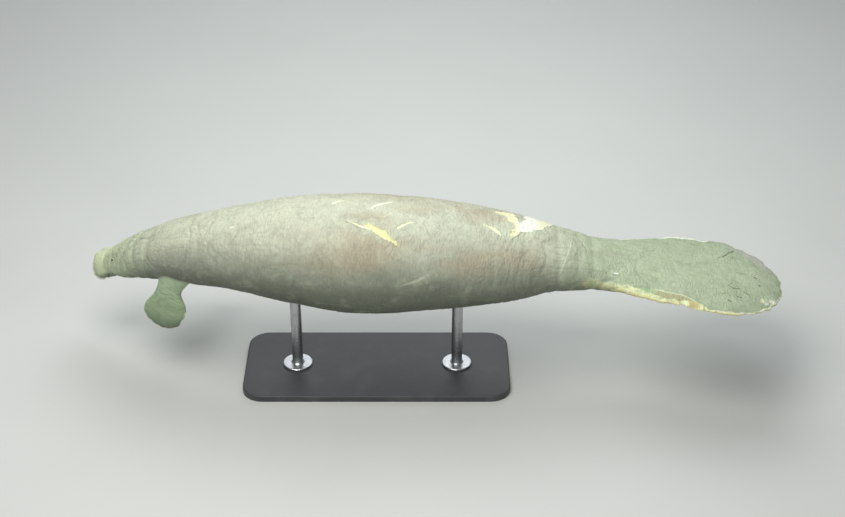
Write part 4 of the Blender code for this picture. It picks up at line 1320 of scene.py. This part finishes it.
def flipper_relief(t, angle, places):
    """Height of a flipper's wrinkles, and how deep in a crease each point lies, which the colour
    darkens as painted shade.
    """
    half_width, half_depth = FLIPPER_HALVES
    local = np.stack(
        [t * FLIPPER_LENGTH, half_width * np.cos(angle), half_depth * np.sin(angle)], axis=-1
    )
    warp = FLIPPER_WARP * rough(places, FLIPPER_WARP_SIZE)
    warped = local + warp[:, None] * [1.0, 0.4, 0.0]
    ring, small = (
        creases(rough(warped, size, stretch, shift), width)
        for size, stretch, shift, width, _ in FLIPPER_WRINKLES
    )
    ring_depth, small_depth = column(FLIPPER_WRINKLES, 4)
    ring *= WRIST_LEAST + sum(share * hump(t, *place) for *place, share in WRIST_FOLDS)
    fingers = np.cos(FINGERS * math.pi * np.cos(angle)) * np.sin(angle) ** 2
    fingers *= ease(t, *FINGERS_START) * (1.0 - ease(t, *FINGERS_END))
    edge = np.abs(np.cos(angle)) ** RIM_POWER * ease(t, *FLIPPER_RUFFLES_START)
    height = FINGER_RISE * fingers - ring_depth * ring - small_depth * small
    height += layered(places, FLIPPER_LUMPS) + layered(places, FLIPPER_RUFFLES) * edge
    return height, np.clip(0.8 * ring + 0.4 * small, 0.0, 1.0)


def make_flipper(side):
    """A flipper's closed skin in the pose, with its root inside the body."""
    rings = flipper_rings()
    turns = np.linspace(0.0, 2 * math.pi, FLIPPER_AROUND + 1)
    t, angle = (grid.ravel() for grid in np.meshgrid(rings, turns, indexing="ij"))
    mesh = grid_mesh("flipper", len(rings), len(turns), flipper_point(t, angle, side))
    write_fields(mesh, along=t, round=angle, made=1.0, limb=1.0 if side < 0 else 2.0)
    close_up(mesh)
    t, angle = read_fields(mesh, "along", "round")
    places = read_points(mesh)
    height, crease = flipper_relief(t, angle, places)
    write_points(mesh, places + read_normals(mesh) * height[:, None])
    half_width, half_depth = FLIPPER_HALVES
    write_fields(
        mesh,
        crease=crease,
        level=FLIPPER_LEVEL,
        straight_s=t * FLIPPER_LENGTH + FLIPPER_ROOT[0],
        straight_y=half_width * np.cos(angle),
        straight_z=half_depth * np.sin(angle),
        **dict.fromkeys(FAR_FIELDS, 1.0),
    )
    if side < 0:
        ends = 0.02 * ease(np.abs(t - 0.62), 0.12, 0.18)
        write_fields(mesh, rim=0.15 * (1.0 + np.cos(angle)) + ends)
    return add_object(f"flipper_{side}", mesh)


def join_solid(obj, other):
    """Joins a closed mesh to obj, whose fields stay on its points."""
    modifier = obj.modifiers.new("Join", "BOOLEAN")
    modifier.operation = "UNION"
    modifier.solver = "MANIFOLD"
    modifier.object = other
    bpy.context.view_layer.update()
    graph = bpy.context.evaluated_depsgraph_get()
    mesh = bpy.data.meshes.new_from_object(obj.evaluated_get(graph))
    obj.modifiers.clear()
    old, obj.data = obj.data, mesh
    bpy.data.meshes.remove(old)
    bpy.data.objects.remove(other)


def neighbour_mean(values, ends):
    """Mean of the values at each point's neighbours."""
    start, end = np.concatenate([ends, ends[:, ::-1]]).T
    number = np.maximum(np.bincount(start, minlength=len(values)), 1)
    means = [np.bincount(start, row[end], minlength=len(values)) / number for row in values.T]
    return np.stack(means, axis=1)


def soften_junctions(mesh):
    """Rounds the corner where each flipper leaves the body, and spreads its fields there."""
    made, limb = read_fields(mesh, "made", "limb")
    places = read_points(mesh)
    tree = point_tree(places[made < 0.5])
    s, y, z = FLIPPER_ROOT
    roots = [bend([s, y * side, z]) for side in (-1, 1)]
    away = np.min([np.linalg.norm(places - root, axis=1) for root in roots], axis=0)
    near = away < JUNCTION_SEARCH
    weight = np.zeros(len(places))
    weight[near] = [tree.find(place)[2] for place in places[near]]
    weight[near] = 1.0 - ease(weight[near], 0.0, JUNCTION_REACH)
    ends = read_all(mesh.edges, "vertices", 2, np.int32)
    ends = ends[(weight[ends] > 0).any(axis=1)]
    kept, ends = np.unique(ends, return_inverse=True)
    ends = ends.reshape(-1, 2)
    new = kept[made[kept] < 0.5]
    names = ("crease", "level", *STRAIGHT_FIELDS, *FAR_FIELDS)
    fields = dict(zip(names, read_fields(mesh, *names)))
    for name, values in zip(STRAIGHT_FIELDS, straighten(places[new], s).T):
        fields[name][new] = values
    fields["level"][new] = FLIPPER_LEVEL
    fields["crease"] *= 1.0 - JUNCTION_CALM * weight
    for name in FAR_FIELDS:
        fields[name][kept] = 1.0
    limb_share = (limb > 0.5).astype(float)
    spread = np.column_stack([places[kept], limb_share[kept]])
    pull = JUNCTION_PULL * weight[kept][:, None]
    for _ in range(JUNCTION_ROUNDS):
        spread = spread + pull * (neighbour_mean(spread, ends) - spread)
    places[kept], limb_share[kept] = spread[:, :3], spread[:, 3]
    write_points(mesh, places)
    write_fields(mesh, limb_share=limb_share, **fields)


def body_places(mesh):
    """Each point's place along and angle round the straight body, also for the flippers' points."""
    s, angle, made, limb = read_fields(mesh, "along", "round", "made", "limb")
    foreign = (made < 0.5) | (limb > 0.5)
    along, y, z = straighten(read_points(mesh)[foreign], FLIPPER_ROOT[0]).T
    width, above, below, *_ = section_sizes(along)
    turn = np.arctan2(z / np.where(z > 0, above, below), y / width)
    s[foreign] = along
    angle[foreign] = np.where(turn < -math.pi / 2, turn + 2 * math.pi, turn)
    return s, angle


def body_map(s, angle, rings):
    """Place on the skin's map of a place on the body."""
    u = np.interp(s, rings, np.linspace(BODY_MAP_EDGE, 1.0 - BODY_MAP_EDGE, len(rings)))
    v = (angle + math.pi / 2) / (2 * math.pi) * BODY_MAP_TOP
    return np.stack([u, v], axis=-1)


def limb_map(t, angle, limb):
    """Place on the skin's map of a place on a flipper."""
    left, low = LIMB_MAPS[limb]
    wide, high = LIMB_MAP_SIZE
    return np.stack([left + t * wide, low + angle / (2 * math.pi) * high], axis=-1)


def corner_data(mesh):
    """The vertex and the face of each corner, and the first corner of each face."""
    vertex = read_all(mesh.loops, "vertex_index", kind=np.int32)
    first = read_all(mesh.polygons, "loop_start", kind=np.int32)
    face = np.zeros(len(vertex), np.int32)
    face[first[1:]] = 1
    return vertex, np.cumsum(face), first


def unseamed(angle, first, face):
    """Angles whose face does not jump over the place where a turn starts again."""
    low = np.minimum.reduceat(angle, first)
    high = np.maximum.reduceat(angle, first)
    jumps = (high - low > math.pi)[face]
    middle = ((low + high) / 2)[face]
    return np.where(jumps & (angle < middle), angle + 2 * math.pi, angle)


def set_map(mesh, places):
    """Keeps the map place of each corner, in the map named OFBake."""
    layer = mesh.uv_layers.new(name="OFBake")
    layer.uv.foreach_set("vector", places.astype(np.float32).ravel())


def map_skin(mesh):
    """Lays the skin out on the map that its colours are kept on."""
    vertex, face, first = corner_data(mesh)
    s, angle = body_places(mesh)
    names = ("along", "round", "limb")
    own_along, own_round, limb = (row[vertex] for row in read_fields(mesh, *names))
    face_limb = np.minimum.reduceat(np.round(limb).astype(int), first)[face]
    places = body_map(s[vertex], unseamed(angle[vertex], first, face), ring_places())
    limb_angle = unseamed(own_round, first, face)
    for number in LIMB_MAPS:
        on_limb = face_limb == number
        places[on_limb] = limb_map(own_along, limb_angle, number)[on_limb]
    set_map(mesh, places)


def make_skin():
    """The one skin of the whole animal."""
    skin = make_body()
    write_fields(skin.data, limb=0.0)
    for side in (-1, 1):
        join_solid(skin, make_flipper(side))
    soften_junctions(skin.data)
    map_skin(skin.data)
    skin.data.shade_smooth()
    skin.data.materials.clear()
    skin.data.materials.append(skin_material())
    flesh = ("head", "neck", "torso", "tail_stock", "tail_paddle", "flipper_left", "flipper_right")
    attach(skin, "skin", *flesh)
    return skin


class Value:
    """A number or colour in a material's graph, from which others are worked out."""

    def __init__(self, graph, socket):
        self.graph = graph
        self.socket = socket

    def math(self, operation, other=0.0):
        return self.graph.add("Math", {0: self, 1: other}, operation=operation)

    def __add__(self, other):
        return self.math("ADD", other)

    def __sub__(self, other):
        return self.math("SUBTRACT", other)

    def __mul__(self, other):
        return self.math("MULTIPLY", other)

    def most(self, other):
        return self.math("MAXIMUM", other)

    def rest(self, clamp=False):
        """What is left of 1."""
        return self.graph.add("Math", {0: 1.0, 1: self}, operation="SUBTRACT", use_clamp=clamp)

    def span(self, start, end, high=1.0, low=0.0, kind="LINEAR"):
        """Goes from low at start to high at end."""
        inputs = {"Value": self, "From Min": start, "From Max": end, "To Min": low, "To Max": high}
        return self.graph.add("MapRange", inputs, interpolation_type=kind)

    def ease(self, start, end, high=1.0, low=0.0):
        """Goes smoothly from low at start to high at end."""
        return self.span(start, end, high, low, "SMOOTHSTEP")

    def swing(self, reach, start=0.0, end=1.0):
        """Goes as far below 0 as above it."""
        return self.span(start, end, reach, -reach)


class Graph:
    """The nodes of one material, with short calls that add and join them."""

    def __init__(self, name):
        self.material = bpy.data.materials.new(name)
        self.material.use_nodes = True
        self.tree = self.material.node_tree
        self.shader = self.tree.nodes["Principled BSDF"]
        self.place = self.add("TexCoord", {}, output="Object")

    def join(self, value, socket):
        if isinstance(value, Value):
            self.tree.links.new(value.socket, socket)
        else:
            socket.default_value = value

    def add(self, kind, inputs, output=0, **settings):
        node = self.tree.nodes.new("ShaderNode" + kind)
        for key, value in settings.items():
            setattr(node, key, value)
        for key, value in inputs.items():
            self.join(value, node.inputs[key])
        return Value(self, node.outputs[output])

    def field(self, name):
        return self.add("Attribute", {}, output="Fac", attribute_name=name)

    def part(self, axis):
        """One coordinate of the place in the piece's own space."""
        return self.add("SeparateXYZ", {0: self.place}, output=axis)

    def stretch(self, vector, scale):
        return self.add("VectorMath", {0: vector, 1: scale}, operation="MULTIPLY")

    def noise(self, size, detail=2.0, vector=None, stretch=None, roughness=0.5, output="Fac"):
        """Noise with lumps of a size, over the piece's own space or another vector."""
        vector = vector or self.place
        if stretch:
            vector = self.stretch(vector, stretch)
        inputs = {"Vector": vector, "Scale": 1.0 / size, "Detail": detail, "Roughness": roughness}
        return self.add("TexNoise", inputs, output=output)

    def cells(self, size):
        """Distance from the middle of the nearest cell, in cells."""
        inputs = {"Vector": self.place, "Scale": 1.0 / size}
        return self.add("TexVoronoi", inputs, output="Distance")

    def layers(self, colour, *rows):
        """A colour with others laid over it, each by its share."""
        for share, over in rows:
            inputs = {0: share, 6: colour, 7: over}
            colour = self.add("Mix", inputs, output=2, data_type="RGBA")
        return colour

    def mix(self, share, first, second):
        return self.layers(first, (share, second))

    def bump(self, height, distance, below=None):
        inputs = {"Height": height, "Distance": distance, "Strength": 1.0}
        if below:
            inputs["Normal"] = below
        return self.add("Bump", inputs)

    def set(self, **values):
        """Sets or joins the shader's inputs, named with _ for each space."""
        for key, value in values.items():
            name = key.replace("_", " ").title().replace("Ior", "IOR")
            self.join(value, self.shader.inputs[name])


def skin_colour(graph, straight):
    """Grey-green skin, darker towards the belly as painted shade, with tan and green clouds, and
    the level it follows.
    """
    along, limb = graph.field("straight_s"), graph.field("limb_share")
    clouds = graph.noise(*CLOUDS, straight, (0.55, 1.0, 1.0))
    # Painted shade from the light above: darker down the body's level, which is raised on the head
    # and broken by clouds
    level = graph.field("level") + along.ease(*PALE_HEAD, 0.34) + clouds.swing(0.34)
    colour = BELLY
    for shade, start, full in PAINTED_SHADE_UP_THE_BODY:
        colour = graph.mix(level.ease(start, full), colour, shade)
    tan = graph.noise(*TAN_CLOUDS, straight, (0.5, 1.0, 1.0)).ease(0.38, 0.62)
    tan = tan * along.ease(*TAN_START) * along.ease(*TAN_END)
    tan = tan * level.ease(0.10, 0.45) * level.ease(1.10, 0.80, 1.0, 0.35)
    green = along.ease(*GREEN_HEAD).most(along.ease(*GREEN_TAIL))
    green = green * graph.noise(*GREEN_CLOUDS, straight).span(0.2, 0.8, 1.0, 0.6)
    green = green * level.ease(-0.35, 0.25, 0.85, 0.25)
    greens = graph.mix(along.ease(*GREENEST_HEAD), GREEN, HEAD_GREEN)
    down = along + clouds.swing(0.06)
    # Paler at the flippers' roots, and darker on their outer half as painted shade
    flippers = graph.layers(
        FLIPPER_ROOT_SKIN,
        (down.ease(*FLIPPER_UPPER_START), FLIPPER_UPPER),
        (down.ease(*FLIPPER_TIP_SHADE_START), FLIPPER_TIP_SHADE),
    )
    return graph.layers(colour, (tan * 0.75, TAN), (green, greens), (limb, flippers)), level


def skin_marks(graph, colour, level, straight, shaded_wrinkle_lines):
    """Mottling, spots, streaks, scratches, darker lids, the pale muzzle, partly painted light on
    its top, and painted shade in creases, pits, wrinkle lines, the mouth's line between the lips,
    the nostrils' slits and the first ring round each eye.
    """
    along = graph.field("straight_s")
    blotches = graph.noise(*BLOTCHES, roughness=0.55)
    grain = graph.noise(*GRAIN, roughness=0.6)
    # Painted shade in the mesh's creases and the pads' pits, stronger on the head
    crease_shade = graph.field("crease") * along.ease(*CREASE_SHADE_ALONG, 0.48, 0.26)
    spots = graph.cells(SPOT_SPACING).ease(0.075, 0.045)
    spots = spots * graph.noise(SPOT_PATCHES).ease(0.50, 0.62)
    streaks = graph.noise(*STREAKS, straight, (0.4, 6.0, 6.0))
    # Pale muzzle, kept to its upper side: partly the muzzle's own pale skin, partly painted light
    # on its top
    muzzle = (along + blotches.swing(0.035, 0.3, 0.7)).ease(*PALE_MUZZLE)
    muzzle = muzzle * level.ease(-0.30, 0.20)
    scratch = (graph.field("scratch") + grain.swing(0.0026, 0.25, 0.75)).ease(0.0014, -0.0012)
    return graph.layers(
        colour,
        (blotches.ease(0.50, 0.80, 0.26), MOTTLE_AND_CREASE_SHADE),
        (blotches.ease(0.50, 0.22, 0.30), PALE_GREEN),
        (grain.ease(0.54, 0.85, 0.20), SPOT_DARK),
        (grain.ease(0.46, 0.15, 0.14), PALE_GREEN),
        # Painted shade in the creases and pits
        (crease_shade, MOTTLE_AND_CREASE_SHADE),
        # Painted shade in the fine wrinkles' lines
        (shaded_wrinkle_lines * 0.16, MOTTLE_AND_CREASE_SHADE),
        (spots * 0.5, SPOT_DARK),
        (streaks.ease(0.60, 0.78, 0.22), PALE_GREEN),
        (muzzle * 0.85, MUZZLE),
        (graph.field("pad") * 0.25, SPOT_DARK),
        # Darker lids, and painted shade in the first ring wrinkle
        (graph.field("lids") * 0.45, LID_SKIN_AND_RING_SHADE),
        (scratch * graph.noise(*SCRATCH_GAPS).ease(0.36, 0.58, 0.9, 0.35), SCRATCH_DARK),
        # Painted shade in the mouth's line and the nostrils' slits
        (graph.field("dark") * 0.85, SLIT_SHADE),
    )


def scar_colour(graph, colour):
    """Yellow-white healed cuts with a pale green halo."""
    shows = graph.field("scar_shows")
    edge = graph.field("scar") + graph.noise(*SCAR_FRAYS).swing(0.0046)
    halo = edge.ease(0.040, 0.0) * graph.noise(*HALO_GAPS).ease(0.40, 0.62) * shows
    pits = graph.cells(SCAR_PIT_SPACING).ease(0.24, 0.14, 0.75)
    pits = pits * graph.noise(SCAR_PIT_PATCHES).ease(0.50, 0.58)
    tissue = graph.layers(
        SCAR_YELLOW,
        (graph.field("scar_white").ease(0.1, 0.9), SCAR_WHITE),
        (graph.noise(*YELLOW_TISSUE).ease(0.54, 0.74, 0.7), SCAR_YELLOW),
        (pits, FLANK),
    )
    inside = edge.ease(0.0012, -0.0014) * shows
    return graph.layers(colour, (halo * 0.50, PALE_GREEN), (inside, tissue))


def rim_colour(graph, colour):
    """The pale line round the paddle's rim, and the worn band and stain along its left side."""
    fine = graph.noise(*RIM_FRAYS).swing(0.0040)
    wavy = graph.noise(*RIM_WANDER).swing(0.0130)
    along = graph.field("straight_s")
    far = graph.field("straight_y").ease(0.06, 0.14)
    rim = graph.field("rim") + fine
    far_end = far * along.ease(*LILAC_START) * (rim + wavy).ease(0.078, 0.060)
    inwards = along.ease(*FAR_RIM_END, 0.0170) + along.ease(*RIM_LINE_LEAVES_EDGE, 0.0180)
    past = rim - far * inwards
    line = past.ease(0.0100, 0.0050) * past.ease(-0.020, -0.010)
    line = line * along.ease(*RIM_LINE_START).most(graph.field("limb_share"))
    broken = graph.noise(*RIM_LINE_GAPS).ease(0.36, 0.52, 0.95, 0.45)
    broken = broken.most(far * along.ease(*FAR_RIM_END))
    stain = graph.field("stain") + wavy * 0.7
    stained = graph.mix(along.ease(*STAIN_TURNS_TAN), STAIN_GREEN, STAIN_TAN)
    border = stain.ease(-0.006, -0.001) * stain.ease(0.005, 0.001)
    border = border * along.ease(*BORDER_START) * along.ease(*BORDER_END)
    lump = along.ease(*LUMP_START) * along.ease(*LUMP_END)
    tone = graph.layers(
        RIM_PALE,
        (graph.noise(*YELLOW_BAND).ease(0.40, 0.62), SCAR_YELLOW),
        (graph.noise(*GREEN_BAND).ease(0.52, 0.66, 0.8), GREEN),
        (rim.ease(0.010, 0.002), RIM_GOLD),
        (lump * rim.ease(0.005, 0.012), SCAR_TAN),
    )
    band = (graph.field("band") + fine + wavy).ease(0.0050, -0.0060)
    band = band * graph.noise(*BAND_GAPS).ease(0.34, 0.52, 1.0, 0.35)
    return graph.layers(
        colour,
        (far_end * 0.60, RIM_LILAC),
        (line * broken, RIM_WHITE),
        (stain.ease(0.001, -0.004, 0.75), stained),
        (border * 0.75, RIM_PALE),
        (band * along.ease(*BAND_START, 1.0, 0.35), tone),
    )


def skin_bump(graph, straight, calm):
    """Wrinkles, soft pebbles, pores and grain too fine for the mesh, and the wrinkles' lines, which
    the colour darkens as painted shade.
    """
    warp = graph.stretch(graph.noise(BUMP_WARP_SIZE, output="Color"), (BUMP_WARP,) * 3)
    bent = graph.add("VectorMath", {0: straight, 1: warp}, operation="ADD")
    ring = graph.noise(*SMALL_WRINKLES, bent, (1.0, 0.34, 0.34), roughness=0.4)
    ring = (ring - 0.5).math("ABSOLUTE").ease(0.0, 0.11)
    across = graph.stretch(bent, (1.0, 0.7, 0.7))
    inputs = {"Vector": across, "Scale": 1.0 / PEBBLE_SIZE, "Smoothness": 0.6}
    pebbles = graph.add("TexVoronoi", inputs, feature="SMOOTH_F1").span(0.0, 0.9, 0.0, 1.0)
    depth = graph.noise(BUMP_PATCHES).ease(0.35, 0.65, 1.0, 0.35) * calm
    normal = None
    for height, distance in (
        (ring * depth, SMALL_WRINKLE_HEIGHT),
        (pebbles * depth, PEBBLE_HEIGHT),
        (graph.cells(PORE_SPACING).ease(0.10, 0.22), PORE_DEPTH),
        (graph.noise(*SKIN_GRAIN, roughness=0.6), SKIN_GRAIN_HEIGHT),
    ):
        normal = graph.bump(height, distance, normal)
    return normal, ring.rest()


def skin_material():
    graph = Graph("skin")
    fields = {axis: graph.field(name) for axis, name in zip("XYZ", STRAIGHT_FIELDS)}
    straight = graph.add("CombineXYZ", fields)
    limb = graph.field("limb_share")
    calm = (limb * limb.rest() * 4.0).rest(clamp=True)
    calm = calm * graph.field("scar").ease(0.004, -0.003, 0.8).rest()
    normal, shaded_wrinkle_lines = skin_bump(graph, straight, calm)
    colour, level = skin_colour(graph, straight)
    colour = skin_marks(graph, colour, level, straight, shaded_wrinkle_lines * calm)
    colour = rim_colour(graph, scar_colour(graph, colour))
    roughness = graph.noise(*SHINE_PATCHES).span(0.25, 0.75, 0.60, 0.42) + shaded_wrinkle_lines * 0.08
    graph.set(base_color=colour, roughness=roughness, normal=normal, specular_ior_level=0.40)
    graph.set(subsurface_weight=0.06, subsurface_scale=0.01, subsurface_radius=(1.0, 0.7, 0.5))
    return graph.material


def round_piece(name, node, slot, material, segments, reshape, matrix):
    """A smooth piece in place of a node, made from a ball whose points reshape moves."""
    mesh = bpy.data.meshes.new(name)
    across, down = segments
    with editing(mesh) as shape:
        bmesh.ops.create_uvsphere(shape, u_segments=across, v_segments=down, radius=1.0)
        for vert in shape.verts:
            vert.co = reshape(vert.co)
    mesh.shade_smooth()
    mesh.materials.append(material)
    piece = add_object(name, mesh)
    piece.matrix_world = matrix
    attach(piece, slot, node)


def eye_material():
    """Dark brown iris round a black pupil, under a wet surface."""
    graph = Graph("eye")
    radius = (graph.part("X").math("POWER", 2.0) + graph.part("Y").math("POWER", 2.0)).math("SQRT")
    spokes = graph.noise(0.0011, 3.0, stretch=(1.0, 1.0, 0.2)).ease(0.35, 0.65)
    colour = graph.layers(
        IRIS[0],
        (spokes, IRIS[1]),
        (radius.ease(*IRIS_EDGE), IRIS_RIM),
        (radius.ease(*EYE_WHITE_EDGE), graph.mix(graph.noise(0.003, 4.0), *EYE_WHITE)),
        (radius.ease(*PUPIL_EDGE), PUPIL),
    )
    graph.set(base_color=colour, roughness=0.06, coat_weight=1.0, coat_roughness=0.02)
    return graph.material


def eye_shape(place):
    """A ball's point on an eyeball with a slightly raised clear front."""
    tilt = place.angle(Vector((0.0, 0.0, 1.0)))
    return place * EYE_RADIUS * (1.0 + EYE_FRONT * math.exp(-((tilt / EYE_FRONT_REACH) ** 2)))


def make_eyes():
    material = eye_material()
    for side, word in ((-1, "left"), (1, "right")):
        here, out, _, _ = skin_frame(EYE_ALONG, side_angle(EYE_ANGLE, side))
        centre, ahead = (Vector(bend(here + out * rise)) for rise in (-EYE_SINK, EYE_SINK))
        turn = (ahead - centre).to_track_quat("Z", "Y").to_matrix().to_4x4()
        matrix = Matrix.Translation(centre) @ turn
        name, node = f"eyeball_{word}", f"eye_{word}"
        round_piece(name, node, "eye", material, EYE_SEGMENTS, eye_shape, matrix)


def nail_material():
    """Worn horn, darker and greener at the root, with fine ridges along it."""
    graph = Graph("nail")
    ridges = graph.noise(0.0011, 3.0, stretch=(0.15, 1.0, 1.0))
    stain = graph.noise(0.006, 4.0)
    colour = graph.layers(
        NAIL_ROOT,
        (graph.part("X").ease(-0.010, 0.012), NAIL_TIP),
        (ridges.ease(0.55, 0.8, 0.5), NAIL_RIDGE),
        (stain.ease(0.55, 0.75, 0.5), NAIL_STAIN),
    )
    graph.set(base_color=colour, normal=graph.bump(ridges, 0.0003))
    graph.set(roughness=stain.span(0.3, 0.7, 0.45, 0.28))
    return graph.material


def nail_shape(place):
    """A ball's point on a thin ridged plate, which is blunt at its tip."""
    x, y, z = place
    blunt = 1.0 + NAIL_BLUNTNESS * max(x, 0.0)
    ridge = 1.0 + NAIL_RIDGE_RISE * math.cos(NAIL_RIDGES * y) * max(z, 0.0)
    lift = math.copysign(abs(z) ** NAIL_FULLNESS, z) * (NAIL_RISE if z > 0 else NAIL_DEPTH)
    return (x * NAIL_LENGTH / 2 * blunt, y * NAIL_WIDTH / 2, lift * ridge)


def nail_matrix(share, across, side):
    """Place and turn of a nail that lies on the outer face of a flipper's end."""
    angle = math.acos(across)
    here = flipper_point(share, angle, side)
    ahead = flipper_point(share + NAIL_STEP, angle, side) - here
    sideways = flipper_point(share, angle - NAIL_STEP, side) - here
    out = unit(np.cross(ahead, sideways)) * side
    ahead = unit(ahead)
    turn = Matrix(np.stack([ahead, np.cross(out, ahead), out], axis=1).tolist())
    return Matrix.Translation(Vector(here)) @ turn.to_4x4()


def make_nails():
    material = nail_material()
    for side, word in ((-1, "left"), (1, "right")):
        for number, (share, across) in enumerate(NAILS, 1):
            matrix = nail_matrix(share, across, side)
            name, node = f"claw_{word}_{number}", f"nail_{word}_{number}"
            round_piece(name, node, "nail", material, NAIL_SEGMENTS, nail_shape, matrix)


def grow_hairs(name, roots, normals, lean, lengths, radii, uv, material, curl):
    """One mesh of thin tapered hairs, three sides round, each bent along its lie."""
    count = len(roots)
    side_on = unit(np.cross(normals, lean + normals * 1e-3))
    tip_way = unit(normals * (1.0 - curl) + lean * curl)
    lengths, radii = lengths[:, None], radii[:, None]
    lie_before, lie_after = HAIR_LIE
    middle = roots + normals * lengths * HAIR_RISE + tip_way * lengths * lie_before
    tip = middle + tip_way * lengths * lie_after
    start = roots - normals * lengths * HAIR_BELOW
    points = []
    for centre, radius in ((start, radii), (middle, radii * HAIR_TAPER)):
        for turn in np.arange(3) * 2 * math.pi / 3:
            spoke = side_on * math.cos(turn) + np.cross(normals, side_on) * math.sin(turn)
            points.append(centre + spoke * radius)
    points.append(tip)
    each = len(points)
    points = np.stack(points, axis=1).reshape(-1, 3)
    sides = [(k, (k + 1) % 3) for k in range(3)]
    pattern = [(0, 2, 1)]
    pattern += [(a, b, b + 3) for a, b in sides] + [(a, b + 3, a + 3) for a, b in sides]
    pattern += [(a + 3, b + 3, 6) for a, b in sides]
    faces = (np.array(pattern)[None] + each * np.arange(count)[:, None, None]).reshape(-1, 3)
    mesh = bpy.data.meshes.new(name)
    mesh.from_pydata(points.tolist(), [], faces.tolist())
    spots = np.tile(np.array(HAIR_SPOTS) * HAIR_PATCH, (count, 1))
    set_map(mesh, (np.repeat(uv, each, axis=0) + spots)[faces.ravel()])
    mesh.shade_smooth()
    mesh.materials.append(material)
    attach(add_object(name, mesh), "skin")


def hair_material(name, tones):
    graph = Graph(name)
    tone = graph.noise(0.006).ease(0.35, 0.65)
    graph.set(base_color=graph.mix(tone, *tones), roughness=0.5)
    return graph.material


def make_hairs(skin):
    """Stout bristles on the lip pads and chin, and fine sparse hairs on the rest."""
    mesh = skin.data
    centres, normals = (read_all(mesh.polygons, name, 3) for name in ("center", "normal"))
    areas = read_all(mesh.polygons, "area")
    vertex, _, corner = corner_data(mesh)
    uv = read_all(mesh.uv_layers["OFBake"].uv, "vector", 2)[corner]
    names = ("straight_s", "pad", "scar", "lids", "dark", "limb_share")
    s, pad, scar, lids, dark, limb = (row[vertex[corner]] for row in read_fields(mesh, *names))
    _, tail, _, up = spine_frame(s)
    lie = unit(tail - normals * (tail * normals).sum(axis=1, keepdims=True))
    bare = areas * ((scar > HAIR_FROM_SCAR) * (lids + dark < HAIR_MARKS))
    first, last = BODY_HAIRS_ALONG
    face_limb, body_limb = HAIR_LIMB_SHARES
    weights = {
        "bristles": bare * pad**BRISTLE_CROWDING,
        "face_hairs": bare * (s < FACE_HAIRS_END) * (limb < face_limb),
        "body_hairs": bare * (s > first) * (s < last) * (limb < body_limb),
    }
    bristle, hair = hair_material("bristle", BRISTLE), hair_material("body_hair", BODY_HAIR)
    random = np.random.default_rng(HAIR_SEED)
    for name, count, shortest, longest, radius, curl in HAIRS:
        stout = name == "bristles"
        share = weights[name] / weights[name].sum()
        chosen = random.choice(len(areas), size=count, replace=False, p=share)
        lengths = random.uniform(shortest, longest, count)
        radii = radius * random.uniform(*HAIR_RADII, count)
        way = -up[chosen] - BRISTLE_TILT * tail[chosen] if stout else lie[chosen]
        lean = unit(way + random.normal(0.0, HAIR_DRIFT, (count, 3)))
        roots = (centres[chosen], normals[chosen], lean, lengths, radii, uv[chosen])
        grow_hairs(name, *roots, bristle if stout else hair, curl)


def base_material():
    """Dark satin paint with a fine orange-peel surface and faint dust."""
    graph = Graph("stand_base")
    dust = graph.noise(0.10, 5.0, roughness=0.6)
    colour = graph.mix(dust.ease(0.45, 0.75, 0.35), *PAINT)
    graph.set(base_color=colour, normal=graph.bump(graph.noise(0.0018), 0.00018))
    graph.set(roughness=dust.span(0.3, 0.7, 0.52, 0.36))
    return graph.material


def rod_material():
    """Brushed steel with fine rings round the rod."""
    graph = Graph("stand_rod_finish")
    rings = graph.noise(0.0009, 3.0, stretch=(0.06, 0.06, 1.0))
    colour = graph.mix(graph.noise(0.035, 3.0).ease(0.4, 0.7, 0.4), *STEEL)
    graph.set(base_color=colour, normal=graph.bump(rings, 0.00008), metallic=1.0)
    graph.set(roughness=rings.span(0.3, 0.7, 0.40, 0.24))
    return graph.material


def finish_stand():
    base, rod = base_material(), rod_material()
    for name, material in (("stand_base", base), ("stand_rod_front", rod), ("stand_rod_rear", rod)):
        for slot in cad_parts[name].material_slots:
            slot.material = material


def make_floor():
    """A plain pale studio floor."""
    ends = (-FLOOR_HALF, FLOOR_HALF)
    mesh = grid_mesh("floor", 2, 2, [(x, y, 0.0) for y in ends for x in ends])
    graph = Graph("floor")
    graph.set(base_color=graph.mix(graph.noise(0.8, 3.0), *FLOOR), roughness=0.75)
    mesh.materials.append(graph.material)
    add_object("floor", mesh)


def aim(obj, place, target):
    """Puts a light or the camera at a place and points it at a target."""
    obj.location = place
    obj.rotation_euler = (Vector(target) - Vector(place)).to_track_quat("-Z", "Y").to_euler()


def make_lights():
    """Soft light from above, a weaker fill from the front and a pale room."""
    for name, place, target, size, power, colour in LIGHTS:
        light = bpy.data.lights.new(name, "AREA")
        light.shape = "DISK"
        light.size = size
        light.energy = power
        light.color = colour
        aim(add_object(name, light), place, target)
    world = bpy.data.worlds.new("room")
    bpy.context.scene.world = world
    world.use_nodes = True
    background = world.node_tree.nodes["Background"]
    background.inputs["Color"].default_value = ROOM_COLOUR
    background.inputs["Strength"].default_value = ROOM_STRENGTH


def make_camera():
    data = bpy.data.cameras.new("camera")
    data.lens = CAMERA_LENS
    data.sensor_width = CAMERA_SENSOR
    camera = add_object("camera", data)
    rise = math.radians(CAMERA_RISE)
    back = Vector((0.0, -math.cos(rise), math.sin(rise)))
    aim(camera, Vector(CAMERA_TARGET) + back * CAMERA_DISTANCE, CAMERA_TARGET)
    bpy.context.scene.camera = camera


def main():
    bpy.context.scene.view_settings.view_transform = "Standard"
    make_camera()
    make_lights()
    make_floor()
    skin = make_skin()
    make_eyes()
    make_nails()
    make_hairs(skin)
    finish_stand()


main()
